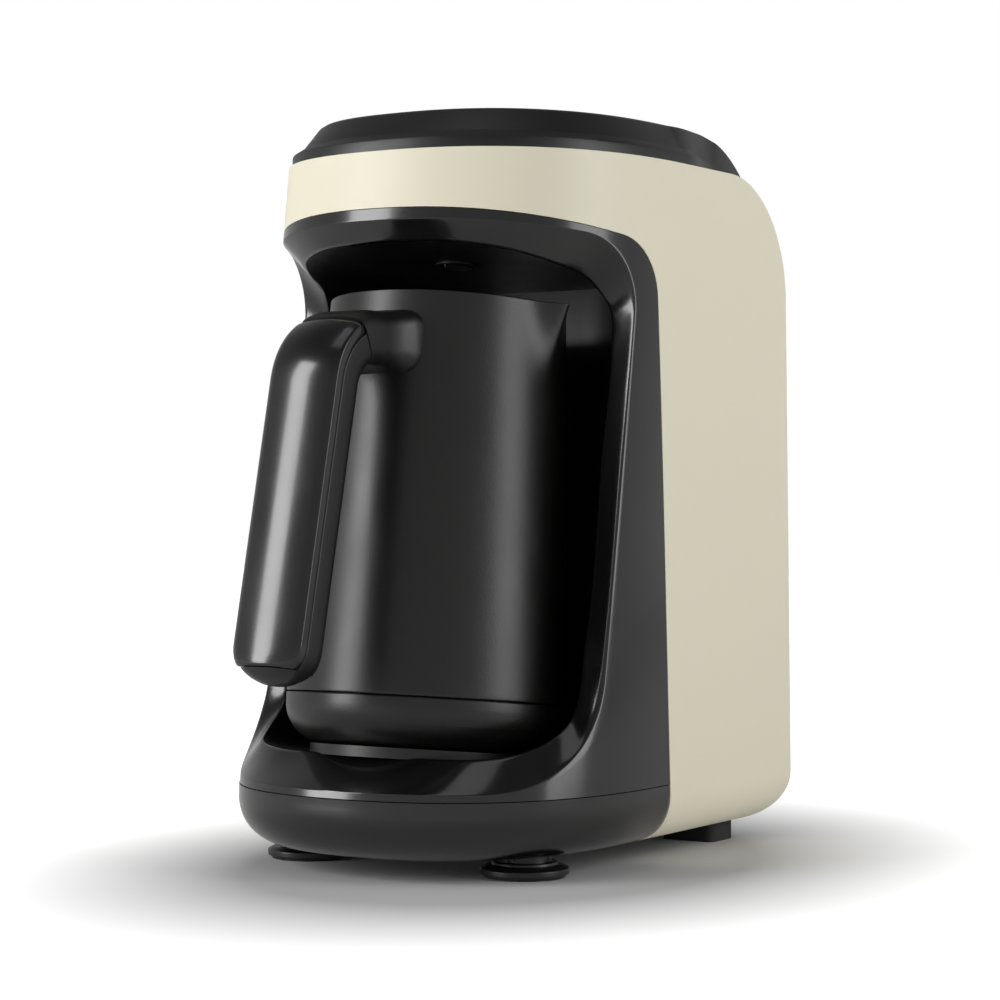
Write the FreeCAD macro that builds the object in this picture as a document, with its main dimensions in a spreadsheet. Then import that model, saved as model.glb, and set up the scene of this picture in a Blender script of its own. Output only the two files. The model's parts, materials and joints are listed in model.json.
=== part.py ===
import FreeCAD, Part
import math
import os
from FreeCAD import Placement, Rotation, Vector

# Electric Turkish coffee maker with a lift-out pot in an open front bay.
# X runs across the machine, Y from its front to its back, Z up from the table. Sizes in mm.
# "Setback" means the distance behind the frontmost point of the base at the parting line.

doc = FreeCAD.newDocument("coffee_maker")
sheet = doc.addObject("Spreadsheet::Sheet", "Sizes")

SIZES = {
    # Housing
    "body_width": 152.0,
    "body_depth": 198.5,
    "shell_bottom": 7.4,
    "parting_height": 28.8,
    "shell_top": 250.8,
    "front_lean": 6.8,
    "side_draft": 0.67,
    "bow_depth": 89.0,
    "bow_fullness": 2.34,
    "bottom_round": 18.0,
    "back_top_round": 44.0,
    "shell_wall": 2.5,
    "panel_gap": 0.3,
    "back_border": 12.0,
    # Edge between the pale shell and the dark front
    "shell_edge_low": 100.2,
    "shell_edge_high": 95.3,
    "shell_corner": 22.0,
    "band_edge_height": 230.7,
    "band_edge_slope": 8.9,
    # Open front of the frame
    "sill_height": 31.5,
    "sill_rise": 10.3,
    "sill_depth": 20.0,
    "foot_sweep": 45.0,
    "foot_sweep_setback": 16.0,
    "face_lean": 9.6,
    "hood_height": 226.3,
    "hood_sweep": 24.0,
    # Bay and pot place
    "pot_setback": 55.8,
    "pot_seat_height": 41.5,
    "pot_lean": 6.1,
    "bay_half_width": 62.0,
    "bay_floor_drop": 4.0,
    "bay_height": 175.4,
    "bay_back": 64.0,
    "bay_top_round": 25.0,
    "bay_back_round": 45.0,
    "bay_floor_round": 8.0,
    "liner_wall": 2.5,
    # Covers
    "cover_wall_height": 3.5,
    "crown_height": 266.0,
    "crown_front_inset": 12.0,
    "crown_side_inset": 8.0,
    "crown_back_round": 40.0,
    "crown_back_start": 26.0,
    "cover_wall": 3.0,
    "cover_reveal": 1.2,
    "back_panel_proud": 3.0,
    "cover_split_height": 196.0,
    # Pot
    "pot_height": 158.0,
    "pot_seam_height": 17.4,
    "pot_seam_radius": 49.5,
    "pot_rim_radius": 42.5,
    "pot_wall": 1.2,
    "pot_cup_round": 14.0,
    "pot_recess_radius": 31.0,
    "pot_recess_depth": 3.2,
    "spout_radius": 10.0,
    "spout_height": 28.0,
    # Handle
    "grip_width": 28.0,
    "grip_thickness": 19.0,
    "grip_lean": 12.7,
    "grip_forward": 84.3,
    "arm_top": 194.5,
    "arm_bend": 20.0,
    "grip_bottom": 68.8,
    "grip_round": 6.5,
    "handle_cover_thickness": 6.5,
    # Feet
    "front_foot_spread": 46.0,
    "front_foot_setback": 51.0,
    "foot_radius": 15.5,
    "foot_thickness": 4.0,
    "stem_radius": 9.2,
    "pad_thickness": 1.0,
    "rear_foot_inset": 28.0,
    "rear_foot_setback": 172.0,
    "rear_foot_length": 22.0,
    "rear_foot_width": 18.0,
    # Controls
    "panel_setback": 92.0,
    "panel_width": 74.0,
    "panel_length": 40.0,
    "panel_thickness": 1.6,
    "panel_corner": 9.0,
    "brew_radius": 11.0,
    "mode_radius": 8.0,
    "button_spacing": 17.0,
    "button_travel": 1.2,
    "button_proud": 1.4,
    "button_fit": 0.3,
    "light_ring_width": 1.8,
    "spring_radius": 6.0,
    "spring_wire": 0.8,
    "board_height": 252.0,
    "board_thickness": 1.6,
    # Fasteners, back and bay fittings
    "tray_screw_spread": 34.0,
    "tray_screw_front": 28.0,
    "tray_screw_back": 88.0,
    "tray_screw_head_radius": 3.1,
    "tray_screw_head_height": 2.0,
    "tray_screw_radius": 1.4,
    "tray_screw_length": 12.0,
    "tray_boss_radius": 4.0,
    "handle_screw_radius": 2.0,
    "handle_screw_head_radius": 3.4,
    "handle_screw_head_height": 2.0,
    "bracket_width": 14.0,
    "bracket_thickness": 3.0,
    "vent_length": 36.0,
    "vent_offset": 24.0,
    "vent_rows": 6,
    "vent_height": 150.0,
    "vent_pitch": 6.0,
    "vent_slot": 2.4,
    "gland_inset": 38.0,
    "gland_height": 44.0,
    "gland_radius": 6.0,
    "gland_length": 12.0,
    "cord_hole_radius": 3.3,
    "standoff_length": 14.0,
    "standoff_radius": 3.0,
    "standoff_inset": 36.0,
    "standoff_low": 70.0,
    "standoff_rise": 80.0,
    "power_board_side_margin": 7.0,
    "power_board_end_margin": 8.0,
    "relay_width": 20.0,
    "relay_depth": 15.0,
    "relay_height": 16.0,
    "transformer_width": 26.0,
    "transformer_depth": 18.0,
    "transformer_height": 28.0,
    "seat_outer": 40.0,
    "boss_radius": 9.0,
    "sensor_setback": 4.0,
    "root_flare": 3.0,
}

for row, (alias, value) in enumerate(SIZES.items(), start=1):
    sheet.set("A%d" % row, alias)
    sheet.set("B%d" % row, str(value))
    sheet.setAlias("B%d" % row, alias)
doc.recompute()


def size(alias):
    return float(sheet.get(alias))


def tan_deg(angle):
    return math.tan(math.radians(angle))


BIG = 600.0
HALF_WIDTH = size("body_width") / 2.0
HANDLE_REACH = (size("grip_forward") + size("grip_thickness") / 2.0 / math.cos(math.radians(size("grip_lean")))
                - size("pot_setback"))
OVERALL_DEPTH = size("body_depth") + HANDLE_REACH
FRONT_Y = HANDLE_REACH - OVERALL_DEPTH / 2.0
BACK_Y = OVERALL_DEPTH / 2.0
POT_Y = FRONT_Y + size("pot_setback")
POT_Z = size("pot_seat_height")
LEAN = Rotation(Vector(1, 0, 0), -size("pot_lean"))
POT_PLACE = Placement(Vector(0, POT_Y, POT_Z), LEAN)
parts = []


# Helpers

def keep(name, shape):
    piece = doc.addObject("Part::Feature", name)
    piece.Label = name
    piece.Shape = shape
    parts.append(piece)
    return piece


def keep_object(name, piece):
    piece.Label = name
    parts.append(piece)
    return piece


def box(x0, x1, y0, y1, z0, z1):
    return Part.makeBox(x1 - x0, y1 - y0, z1 - z0, Vector(x0, y0, z0))


def rounded_corner(before, corner, after, radius):
    """Tangent points and arc middle of a rounded corner, as vectors in one plane."""
    u = (before - corner).normalize()
    v = (after - corner).normalize()
    half = u.getAngle(v) / 2.0
    reach = radius / math.tan(half)
    start = corner + u * reach
    end = corner + v * reach
    middle_dir = (u + v).normalize()
    centre = corner + middle_dir * (radius / math.sin(half))
    middle = centre - middle_dir * radius
    return start, middle, end


def rounded_wire(corners):
    """A closed wire through (point, radius) corners, with arcs where a radius is given."""
    edges = []
    count = len(corners)
    joints = []
    for i, (point, radius) in enumerate(corners):
        before = corners[i - 1][0]
        after = corners[(i + 1) % count][0]
        if radius > 0:
            joints.append(rounded_corner(before, point, after, radius))
        else:
            joints.append((point, None, point))
    for i, (start, middle, end) in enumerate(joints):
        if middle is not None:
            edges.append(Part.Arc(start, middle, end).toShape())
        following = joints[(i + 1) % count][0]
        if (following - end).Length > 1e-6:
            edges.append(Part.LineSegment(end, following).toShape())
    return Part.Wire(edges)


def rounded_side_prism(corners, half_width):
    """A prism across the machine from (setback, height, radius) corners."""
    wire = rounded_wire([(Vector(-half_width, FRONT_Y + s, z), r) for s, z, r in corners])
    return Part.Face(wire).extrude(Vector(2.0 * half_width, 0, 0))


def bow_wire(z, half_width, apex_y, depth, fullness, back_y):
    """Plan outline at one height: a full bow in front, straight sides, a straight back."""
    points = []
    for step in range(-6, 7):
        angle = math.radians(15.0 * step)
        across = math.copysign(abs(math.sin(angle)) ** (2.0 / fullness), step)
        back = 1.0 - max(math.cos(angle), 0.0) ** (2.0 / fullness)
        points.append(Vector(half_width * across, apex_y + depth * back, z))
    curve = Part.BSplineCurve()
    curve.interpolate(points, InitialTangent=Vector(0, -1, 0), FinalTangent=Vector(0, 1, 0))
    left_back = Vector(-half_width, back_y, z)
    right_back = Vector(half_width, back_y, z)
    return Part.Wire([curve.toShape(),
                      Part.LineSegment(points[-1], right_back).toShape(),
                      Part.LineSegment(right_back, left_back).toShape(),
                      Part.LineSegment(left_back, points[0]).toShape()])


def side_half_width(z):
    return HALF_WIDTH - (z - size("parting_height")) * tan_deg(size("side_draft"))


def apex_y(z):
    return FRONT_Y + (z - size("parting_height")) * tan_deg(size("front_lean"))


def envelope(inset, top):
    """The leaning housing form, drawn in by an inset, up to a given height."""
    z0 = size("shell_bottom") + inset
    back = BACK_Y - size("back_panel_proud") - inset
    radius = size("bottom_round") - inset

    def outline_at(z, tuck):
        return bow_wire(z, side_half_width(z) - inset - tuck, apex_y(z) + inset + tuck,
                        size("bow_depth") - inset - tuck, size("bow_fullness"), back)

    rounded = []
    for step in range(5):
        angle = math.radians(22.5 * step)
        rounded.append(outline_at(z0 + radius * (1.0 - math.cos(angle)), radius * (1.0 - math.sin(angle))))
    solid = Part.makeLoft(rounded, True, False)
    upper = Part.makeLoft([outline_at(z0 + radius, 0.0), outline_at(top, 0.0)], True, True)
    solid = solid.fuse(upper)
    back_setback = back - FRONT_Y
    outline = [(-80.0, -20.0, 0), (-80.0, top, 0),
               (back_setback, top, size("back_top_round") - inset),
               (back_setback, z0, radius),
               (60.0, z0, 0), (60.0, -20.0, 0)]
    solid = solid.common(rounded_side_prism(outline, BIG))
    return solid


def front_zone(gap):
    """Everything in front of the pale shell's edge, with a gap to it."""
    slope = tan_deg(size("band_edge_slope"))
    band_setback = (size("band_edge_height") - size("parting_height")) * tan_deg(size("front_lean"))

    def band(s):
        return size("band_edge_height") - (s - band_setback) * slope - gap

    low = size("shell_edge_low") - gap
    high = size("shell_edge_high") - gap
    low_z = size("parting_height")
    high_z = band(high)
    per_mm = (high - low) / (high_z - low_z)
    bottom_s = low + (-40.0 - low_z) * per_mm
    corners = [(-90.0, -40.0, 0), (-90.0, band(-90.0), 0), (high, high_z, size("shell_corner") - gap),
               (bottom_s, -40.0, 0)]
    return rounded_side_prism(corners, BIG)


def bay_space(grow, front):
    """The bay in the leaning frame of the pot: rounded section, round back."""
    half = size("bay_half_width") + grow
    floor = -size("bay_floor_drop") - grow
    top = size("bay_height") + grow
    back = size("bay_back") + grow
    section = rounded_wire([(Vector(-half, front, floor), size("bay_floor_round") + grow),
                            (Vector(half, front, floor), size("bay_floor_round") + grow),
                            (Vector(half, front, top), size("bay_top_round") + grow),
                            (Vector(-half, front, top), size("bay_top_round") + grow)])
    run = Part.Face(section).extrude(Vector(0, back - front, 0))
    round_back = size("bay_back_round") + grow
    plan = rounded_wire([(Vector(-half - 1, front, floor), 0), (Vector(half + 1, front, floor), 0),
                         (Vector(half + 1, back, floor), round_back),
                         (Vector(-half - 1, back, floor), round_back)])
    space = run.common(Part.Face(plan).extrude(Vector(0, 0, top - floor)))
    space.Placement = POT_PLACE
    return space


def tube(outer, inner, length):
    """A ring standing on the XY plane."""
    return Part.makeCylinder(outer, length).cut(Part.makeCylinder(inner, length))


def turned(profile):
    """A solid turned about Z from (radius, height) points."""
    wire = Part.makePolygon([Vector(r, 0, z) for r, z in profile + profile[:1]])
    return Part.Face(wire).revolve(Vector(0, 0, 0), Vector(0, 0, 1), 360)


def at(shape, x, y, z):
    shape.translate(Vector(x, y, z))
    return shape


def boss_foot():
    """Height where the frame's screw bosses meet the tray's floor."""
    return size("shell_bottom") + size("shell_wall") + size("panel_gap") + 2.5 + 0.2


# Housing forms that several pieces are cut from

GAP = size("panel_gap")
WALL = size("shell_wall")
PARTING = size("parting_height")
SHELL_TOP = size("shell_top")
BACK_FACE = BACK_Y - size("back_panel_proud")
outer_form = envelope(0, SHELL_TOP)
inner_form = envelope(WALL, SHELL_TOP + 5.0)
fitted_form = envelope(WALL + GAP, SHELL_TOP - 0.5)
front = front_zone(0)
front_fitted = front_zone(GAP)
bay = bay_space(0, -200.0)
window_half = HALF_WIDTH - size("back_border")

# Pale shell: two side panels joined by the band over the front

shell = outer_form.cut(inner_form).cut(front)
shell = shell.cut(box(-window_half, window_half, BACK_FACE - 60.0, BACK_FACE + 20.0,
                      size("shell_bottom") + 4.0, SHELL_TOP + 1.0))
under_half = HALF_WIDTH - size("bottom_round") - 1.0
shell = shell.cut(box(-under_half, under_half, FRONT_Y, BACK_FACE + 20.0, 0, size("shell_bottom") + 5.0))
keep("outer_shell", shell)

# Front frame: leaning side posts, hood and sill round the bay

sweep_r = size("foot_sweep")
lean = math.radians(size("face_lean"))
sweep_centre = (size("foot_sweep_setback"), size("sill_height") + sweep_r)
foot_tangent = (sweep_centre[0] + sweep_r * math.cos(lean), sweep_centre[1] - sweep_r * math.sin(lean))
hood_apex = (size("hood_height") - PARTING) * tan_deg(size("front_lean"))


def hood_line(s):
    return size("hood_height") - (s - hood_apex) * tan_deg(size("pot_lean"))


def face_line(z):
    return foot_tangent[0] + (z - foot_tangent[1]) * math.tan(lean)


corner_z = hood_line(face_line(size("hood_height")))
corner_s = face_line(corner_z)
foot_corner_s = face_line(size("sill_height"))
scoop = rounded_side_prism([(-90.0, size("sill_height"), 0), (-90.0, hood_line(-90.0), 0),
                            (corner_s, corner_z, size("hood_sweep")),
                            (foot_corner_s, size("sill_height"), sweep_r)], BIG)

sill_top = size("sill_height") + size("sill_rise")
sill_foot = size("sill_height") - 1.0
sill_back = FRONT_Y + size("shell_edge_low") - GAP - 0.5
lip = 0.6
sill = Part.makeLoft([
    bow_wire(sill_foot, side_half_width(sill_foot) - lip, apex_y(sill_foot) + lip,
             size("bow_depth") - lip, size("bow_fullness"), sill_back),
    bow_wire(sill_top, size("bay_half_width") + 2.0, FRONT_Y + size("sill_depth"),
             size("bow_depth") - size("sill_depth"), 4.0, sill_back)],
    True, True)
flange = fitted_form.common(box(-BIG, BIG, FRONT_Y - 20.0, FRONT_Y + 86.0,
                                size("hood_height") - 8.0, size("band_edge_height") + 7.0))
frame = outer_form.common(front_fitted).cut(scoop)
frame = frame.fuse([sill, flange.cut(scoop)])
frame = frame.cut(bay).cut(box(-BIG, BIG, -BIG, BIG, -50.0, PARTING + GAP / 2.0))

# Bay liner: back wall, ceiling and floor of the bay behind the frame

liner = bay_space(size("liner_wall"), -20.0).cut(bay)
liner = liner.cut(front_zone(-GAP))
keep("bay_liner", liner)

# Base tray: rounded pan under the parting line

pan = outer_form.common(front_fitted)
pan = pan.fuse(fitted_form.common(box(-BIG, BIG, FRONT_Y + 80.0, BIG, 0, PARTING + 20.0)))
pan = pan.common(box(-BIG, BIG, -BIG, BIG, 0, PARTING - GAP / 2.0))
pan_inner = envelope(WALL + GAP + 2.5, PARTING + 40.0)
pan = pan.cut(pan_inner)
foot_places = [(side * size("front_foot_spread"), FRONT_Y + size("front_foot_setback")) for side in (-1, 1)]
for x, y in foot_places:
    pan = pan.cut(at(Part.makeCylinder(size("stem_radius") + GAP, 20.0), x, y, 0))
screw_places = [(x, FRONT_Y + s) for x in (-size("tray_screw_spread"), size("tray_screw_spread"))
                for s in (size("tray_screw_front"), size("tray_screw_back"))]
pan_floor = size("shell_bottom")
head_seat = pan_floor + 2.6
head_r = size("tray_screw_head_radius")
head_h = size("tray_screw_head_height")
shank_r = size("tray_screw_radius")
for x, y in screw_places:
    pan = pan.cut(at(Part.makeCylinder(head_r + GAP, head_seat), x, y, 0))
    pan = pan.cut(at(Part.makeCylinder(shank_r + 0.4, 20.0), x, y, 0))
pan = pan.removeSplitter()
keep("base_tray", pan)

boss_r = size("tray_boss_radius")
bosses = [at(tube(boss_r, shank_r + 0.05, PARTING + 1.0 - boss_foot()), x, y, boss_foot()) for x, y in screw_places]
frame = frame.fuse(bosses)
keep("front_frame", frame)

screws = []
for x, y in screw_places:
    head = at(Part.makeCylinder(head_r, head_h), x, y, head_seat - head_h)
    shank = at(Part.makeCylinder(shank_r, size("tray_screw_length")), x, y, head_seat)
    screws.append(head.fuse(shank))
keep("tray_screws", Part.makeCompound(screws))

# Top cover: sloped crown over the shell, running on down the top of the back

cover_foot = SHELL_TOP + 0.2
crown_top = size("crown_height")
strip_half = window_half - GAP


def crown(inset, foot, top):
    """The crown's outer form drawn in by an inset: upright wall, then a sloped shoulder."""
    reveal = size("cover_reveal") + inset
    shoulder = cover_foot + size("cover_wall_height")
    front_in = size("crown_front_inset") + inset
    side_in = size("crown_side_inset") + inset
    half = side_half_width(SHELL_TOP)
    apex = apex_y(SHELL_TOP)
    back = BACK_Y + 20.0
    depth = size("bow_depth")
    full = size("bow_fullness")
    wall = Part.makeLoft([bow_wire(foot, half - reveal, apex + reveal, depth - reveal, full, back),
                          bow_wire(shoulder, half - reveal, apex + reveal, depth - reveal, full, back)],
                         True, True)
    slope = Part.makeLoft([bow_wire(shoulder, half - reveal, apex + reveal, depth - reveal, full, back),
                           bow_wire(top, half - side_in, apex + front_in, depth - front_in, full, back)],
                          True, True)
    plan_back = BACK_FACE - size("crown_back_start") - inset
    plan_round = size("crown_back_round")
    plan = rounded_wire([(Vector(-half, -BIG, foot), 0), (Vector(half, -BIG, foot), 0),
                         (Vector(half, plan_back, foot), plan_round), (Vector(-half, plan_back, foot), plan_round)])
    return wall.fuse(slope).common(Part.Face(plan).extrude(Vector(0, 0, 60.0)))


def back_strip(inset, low):
    """Side form of the cover: flat top, round corner, straight back."""
    back_s = BACK_Y - FRONT_Y - inset
    return rounded_side_prism([(-60.0, low, 0), (-60.0, crown_top - inset, 0),
                               (back_s, crown_top - inset, size("back_top_round") + 10.0 - inset),
                               (back_s, low, 0)], BIG)


split = size("cover_split_height")
cover_outer = back_strip(0, split)
cover_inner = back_strip(size("back_panel_proud") + WALL + GAP + 0.3, split - 1.0)
strip_space = box(-strip_half, strip_half, BACK_FACE - 70.0, BIG, split, BIG)
cover = crown(0, cover_foot, crown_top).common(cover_outer)
cover = cover.cut(crown(size("cover_wall"), cover_foot - 1.0, crown_top - size("cover_wall")))
lid_top = cover_foot + 0.4
lid_inset = WALL + GAP
lid = envelope(lid_inset, lid_top).cut(envelope(lid_inset + 2.2, lid_top + 5.0))
lid = lid.common(box(-BIG, BIG, BACK_FACE - 70.0, BIG, split, lid_top))
cover = cover.fuse([cover_outer.cut(cover_inner).common(strip_space), lid])
panel_y = FRONT_Y + size("panel_setback")
panel_w = size("panel_width")
panel_l = size("panel_length")
panel_t = size("panel_thickness")


def panel_block(grow, low, high):
    """The panel's rounded plan, grown on all sides, between two heights."""
    corner = size("panel_corner") + grow
    wire = rounded_wire([(Vector(-panel_w / 2 - grow, panel_y - panel_l / 2 - grow, low), corner),
                         (Vector(panel_w / 2 + grow, panel_y - panel_l / 2 - grow, low), corner),
                         (Vector(panel_w / 2 + grow, panel_y + panel_l / 2 + grow, low), corner),
                         (Vector(-panel_w / 2 - grow, panel_y + panel_l / 2 + grow, low), corner)])
    return Part.Face(wire).extrude(Vector(0, 0, high - low))


button_places = {"brew": (-size("button_spacing"), size("brew_radius")),
                 "mode": (size("button_spacing"), size("mode_radius"))}
fit = size("button_fit")
panel_seat = crown_top - panel_t
cover = cover.cut(panel_block(GAP, panel_seat, crown_top + 5.0))
for x, radius in button_places.values():
    cover = cover.cut(at(Part.makeCylinder(radius + fit, 30.0), x, panel_y, crown_top - 20.0))
board_top = size("board_height")
post_places = [(x, y) for x in (-panel_w / 2 + 3.0, panel_w / 2 - 3.0)
               for y in (panel_y - panel_l / 2 - 4.0, panel_y + panel_l / 2 + 4.0)]
post_length = crown_top - size("cover_wall") + 0.5 - board_top
for x, y in post_places:
    cover = cover.fuse(at(Part.makeCylinder(3.0, post_length), x, y, board_top))
cover = cover.removeSplitter()
keep("top_cover", cover)

# Control panel with its light ring, two buttons on springs, board and switches

ring_width = size("light_ring_width")
panel = panel_block(0, panel_seat, crown_top)
brew_x, brew_r = button_places["brew"]
mode_x, mode_r = button_places["mode"]
ring_outer = brew_r + fit + ring_width
panel = panel.cut(at(Part.makeCylinder(ring_outer, 10.0), brew_x, panel_y, panel_seat - 1.0))
panel = panel.cut(at(Part.makeCylinder(mode_r + fit, 10.0), mode_x, panel_y, panel_seat - 1.0))
keep("control_panel", panel)
keep("light_ring", at(tube(ring_outer, brew_r + fit, panel_t), brew_x, panel_y, panel_seat))

travel = size("button_travel")
flange_top = crown_top - size("cover_wall") - 0.1
flange_low = flange_top - 1.5
switch_top = board_top + 3.5
for name, (x, radius) in button_places.items():
    cap_top = crown_top + size("button_proud")
    cap = at(Part.makeCylinder(radius, cap_top - flange_top), x, panel_y, flange_top)
    dish = Part.makeSphere(60.0, Vector(x, panel_y, cap_top + 60.0 - 0.5))
    flange = at(Part.makeCylinder(radius + 1.5, 1.5), x, panel_y, flange_low)
    stem_foot = switch_top + travel + 0.2
    stem = at(Part.makeCylinder(2.5, flange_low - stem_foot), x, panel_y, stem_foot)
    keep(name + "_button", cap.cut(dish).fuse(flange).fuse(stem))
    spring = doc.addObject("Part::Cut", name + "_spring")
    outer = doc.addObject("Part::Cylinder", name + "_spring_outer")
    inner = doc.addObject("Part::Cylinder", name + "_spring_inner")
    outer.setExpression("Radius", "Sizes.spring_radius")
    inner.setExpression("Radius", "Sizes.spring_radius - Sizes.spring_wire")
    for solid in (outer, inner):
        solid.Height = flange_low - board_top
    spring.Base = outer
    spring.Tool = inner
    spring.Placement = Placement(Vector(x, panel_y, board_top), Rotation())
    keep_object(name + "_spring", spring)

board = doc.addObject("Part::Box", "control_board")
board.setExpression("Height", "Sizes.board_thickness")
board.Length = panel_w + 6.0
board.Width = panel_l + 18.0
board.Placement = Placement(Vector(-board.Length.Value / 2, panel_y - board.Width.Value / 2,
                                   board_top - size("board_thickness")), Rotation())
keep_object("control_board", board)
switches = [box(x - 3.0, x + 3.0, panel_y - 3.0, panel_y + 3.0, board_top, switch_top)
            for x, radius in button_places.values()]
keep("switches", Part.makeCompound(switches))
buzzer_y = panel_y + panel_l / 2 - 2.0
keep("buzzer", at(Part.makeCylinder(5.0, 5.0), 0, buzzer_y, board_top))

# Back cover with vents, the cord gland, and the power board on its standoffs

back_low = PARTING + 0.3
plate = box(-strip_half, strip_half, BACK_FACE, BACK_Y, back_low, split - GAP)
uprights = [e for e in plate.Edges if e.BoundBox.ZLength > 50.0 and e.BoundBox.YMin > BACK_Y - 0.1]
plate = plate.makeFillet(2.0, uprights)
vent_w = size("vent_length")
for row in range(int(size("vent_rows"))):
    z = size("vent_height") + row * size("vent_pitch")
    for side in (-1, 1):
        x0 = side * size("vent_offset") - vent_w / 2.0
        plate = plate.cut(box(x0, x0 + vent_w, BACK_FACE - 1.0, BACK_Y + 1.0, z, z + size("vent_slot")))
gland_x = -(HALF_WIDTH - size("gland_inset"))
gland_z = size("gland_height")
BACKWARD = Rotation(Vector(1, 0, 0), -90)


def along_back(radius, length, x, y, z):
    """A cylinder that points to the back from (x, y, z)."""
    solid = Part.makeCylinder(radius, length)
    solid.Placement = Placement(Vector(x, y, z), BACKWARD)
    return solid


gland_r = size("gland_radius")
flange_t = 1.4
plate = plate.cut(along_back(gland_r, 20.0, gland_x, BACK_FACE - 5.0, gland_z))
plate = plate.cut(along_back(gland_r + 2.0, 20.0, gland_x, BACK_Y - flange_t, gland_z))
keep("back_cover", plate)
gland = along_back(gland_r - 0.1, size("gland_length"), gland_x, BACK_Y - size("gland_length"), gland_z)
gland = gland.fuse(along_back(gland_r + 1.8, flange_t, gland_x, BACK_Y - flange_t, gland_z))
gland = gland.fuse(along_back(gland_r + 1.8, flange_t, gland_x, BACK_FACE - flange_t, gland_z))
gland = gland.cut(along_back(size("cord_hole_radius"), 40.0, gland_x, BACK_FACE - 20.0, gland_z))
keep("cord_gland", gland)

standoff = size("standoff_length")
power_y = BACK_FACE - standoff
stand_x = HALF_WIDTH - size("standoff_inset")
stand_low = size("standoff_low")
stand_high = stand_low + size("standoff_rise")
stand_places = [(x, z) for x in (-stand_x, stand_x) for z in (stand_low, stand_high)]
keep("standoffs", Part.makeCompound([along_back(size("standoff_radius"), standoff, x, power_y, z)
                                     for x, z in stand_places]))
power_half = stand_x + size("power_board_side_margin")
power_low = stand_low - size("power_board_end_margin")
power = doc.addObject("Part::Box", "power_board")
power.Length = 2.0 * power_half
power.setExpression("Height", "Sizes.standoff_rise + 2 * Sizes.power_board_end_margin")
power.setExpression("Width", "Sizes.board_thickness")
power.Placement = Placement(Vector(-power_half, power_y - size("board_thickness"), power_low), Rotation())
keep_object("power_board", power)
relay_face = power_y - size("board_thickness")


def on_board(left, low, width, depth, height):
    """A cased component on the power board's front face."""
    return box(left, left + width, relay_face - depth, relay_face, low, low + height)


keep("relay", on_board(-stand_x + 10.0, power_low + 18.0, size("relay_width"), size("relay_depth"),
                       size("relay_height")))
keep("transformer", on_board(stand_x - 32.0, power_low + 16.0, size("transformer_width"),
                             size("transformer_depth"), size("transformer_height")))

# Seat ring, contact boss and its pins on the bay floor, foam sensor in the ceiling

floor_v = -size("bay_floor_drop")


def leaning(name, shape):
    shape.Placement = POT_PLACE.multiply(shape.Placement)
    return keep(name, shape)


seat_height = -floor_v - GAP
leaning("seat_ring", at(tube(size("seat_outer"), size("pot_recess_radius") - 3.0, seat_height), 0, 0, floor_v))
boss_top = size("pot_recess_depth") - 1.2
leaning("contact_boss", at(Part.makeCylinder(size("boss_radius"), boss_top - floor_v), 0, 0, floor_v))
pins = [at(Part.makeCylinder(0.9, 0.5), r, 0, boss_top) for r in (0.0, 3.6, 7.2)]
leaning("contact_pins", Part.makeCompound(pins))
ceiling = size("bay_height")
lens_y = size("sensor_setback")
lens = at(Part.makeCone(5.0, 6.0, 1.6), 0, lens_y, ceiling - 1.6)
leaning("foam_sensor_lens", lens)
bezel = at(tube(8.0, 6.2, 1.2), 0, lens_y, ceiling - 1.2)
leaning("sensor_bezel", bezel)

# Feet: two tall front feet with snap stems, two low rear feet

pad = size("pad_thickness")
disc_r = size("foot_radius")
for label, (x, y) in zip(("front_foot_left", "front_foot_right"), foot_places):
    disc = Part.makeCylinder(disc_r, size("foot_thickness") - pad)
    disc = disc.makeChamfer(0.6, disc.Edges[0:1])
    stem = Part.makeCylinder(size("stem_radius"), size("shell_bottom") + 7.0 - pad)
    collar = Part.makeCylinder(size("stem_radius") + 2.0, size("foot_thickness") + 1.2 - pad)
    foot = disc.fuse(stem).fuse(collar)
    slit_low = size("foot_thickness") + 1.2 - pad
    for turn in (45, 135):
        slit = box(-20.0, 20.0, -0.8, 0.8, slit_low, 40.0)
        slit.rotate(Vector(0, 0, 0), Vector(0, 0, 1), turn)
        foot = foot.cut(slit)
    foot = foot.cut(at(Part.makeCylinder(size("stem_radius") - 3.0, 40.0), 0, 0, slit_low))
    keep(label, at(foot.removeSplitter(), x, y, pad))
pads = [at(Part.makeCylinder(disc_r - 1.5, pad), x, y, 0) for x, y in foot_places]
keep("front_foot_pads", Part.makeCompound(pads))
rear = []
for side in (-1, 1):
    block = box(-size("rear_foot_length") / 2, size("rear_foot_length") / 2, -size("rear_foot_width") / 2,
                size("rear_foot_width") / 2, 0, size("shell_bottom"))
    block = block.makeFillet(3.0, [e for e in block.Edges if e.BoundBox.ZLength > 5.0])
    rear.append(at(block, side * (HALF_WIDTH - size("rear_foot_inset")), FRONT_Y + size("rear_foot_setback"), 0))
keep("rear_feet", Part.makeCompound(rear))

# Pot, in its own leaning frame: vessel with spout, base cup, heater, contact rings

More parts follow.
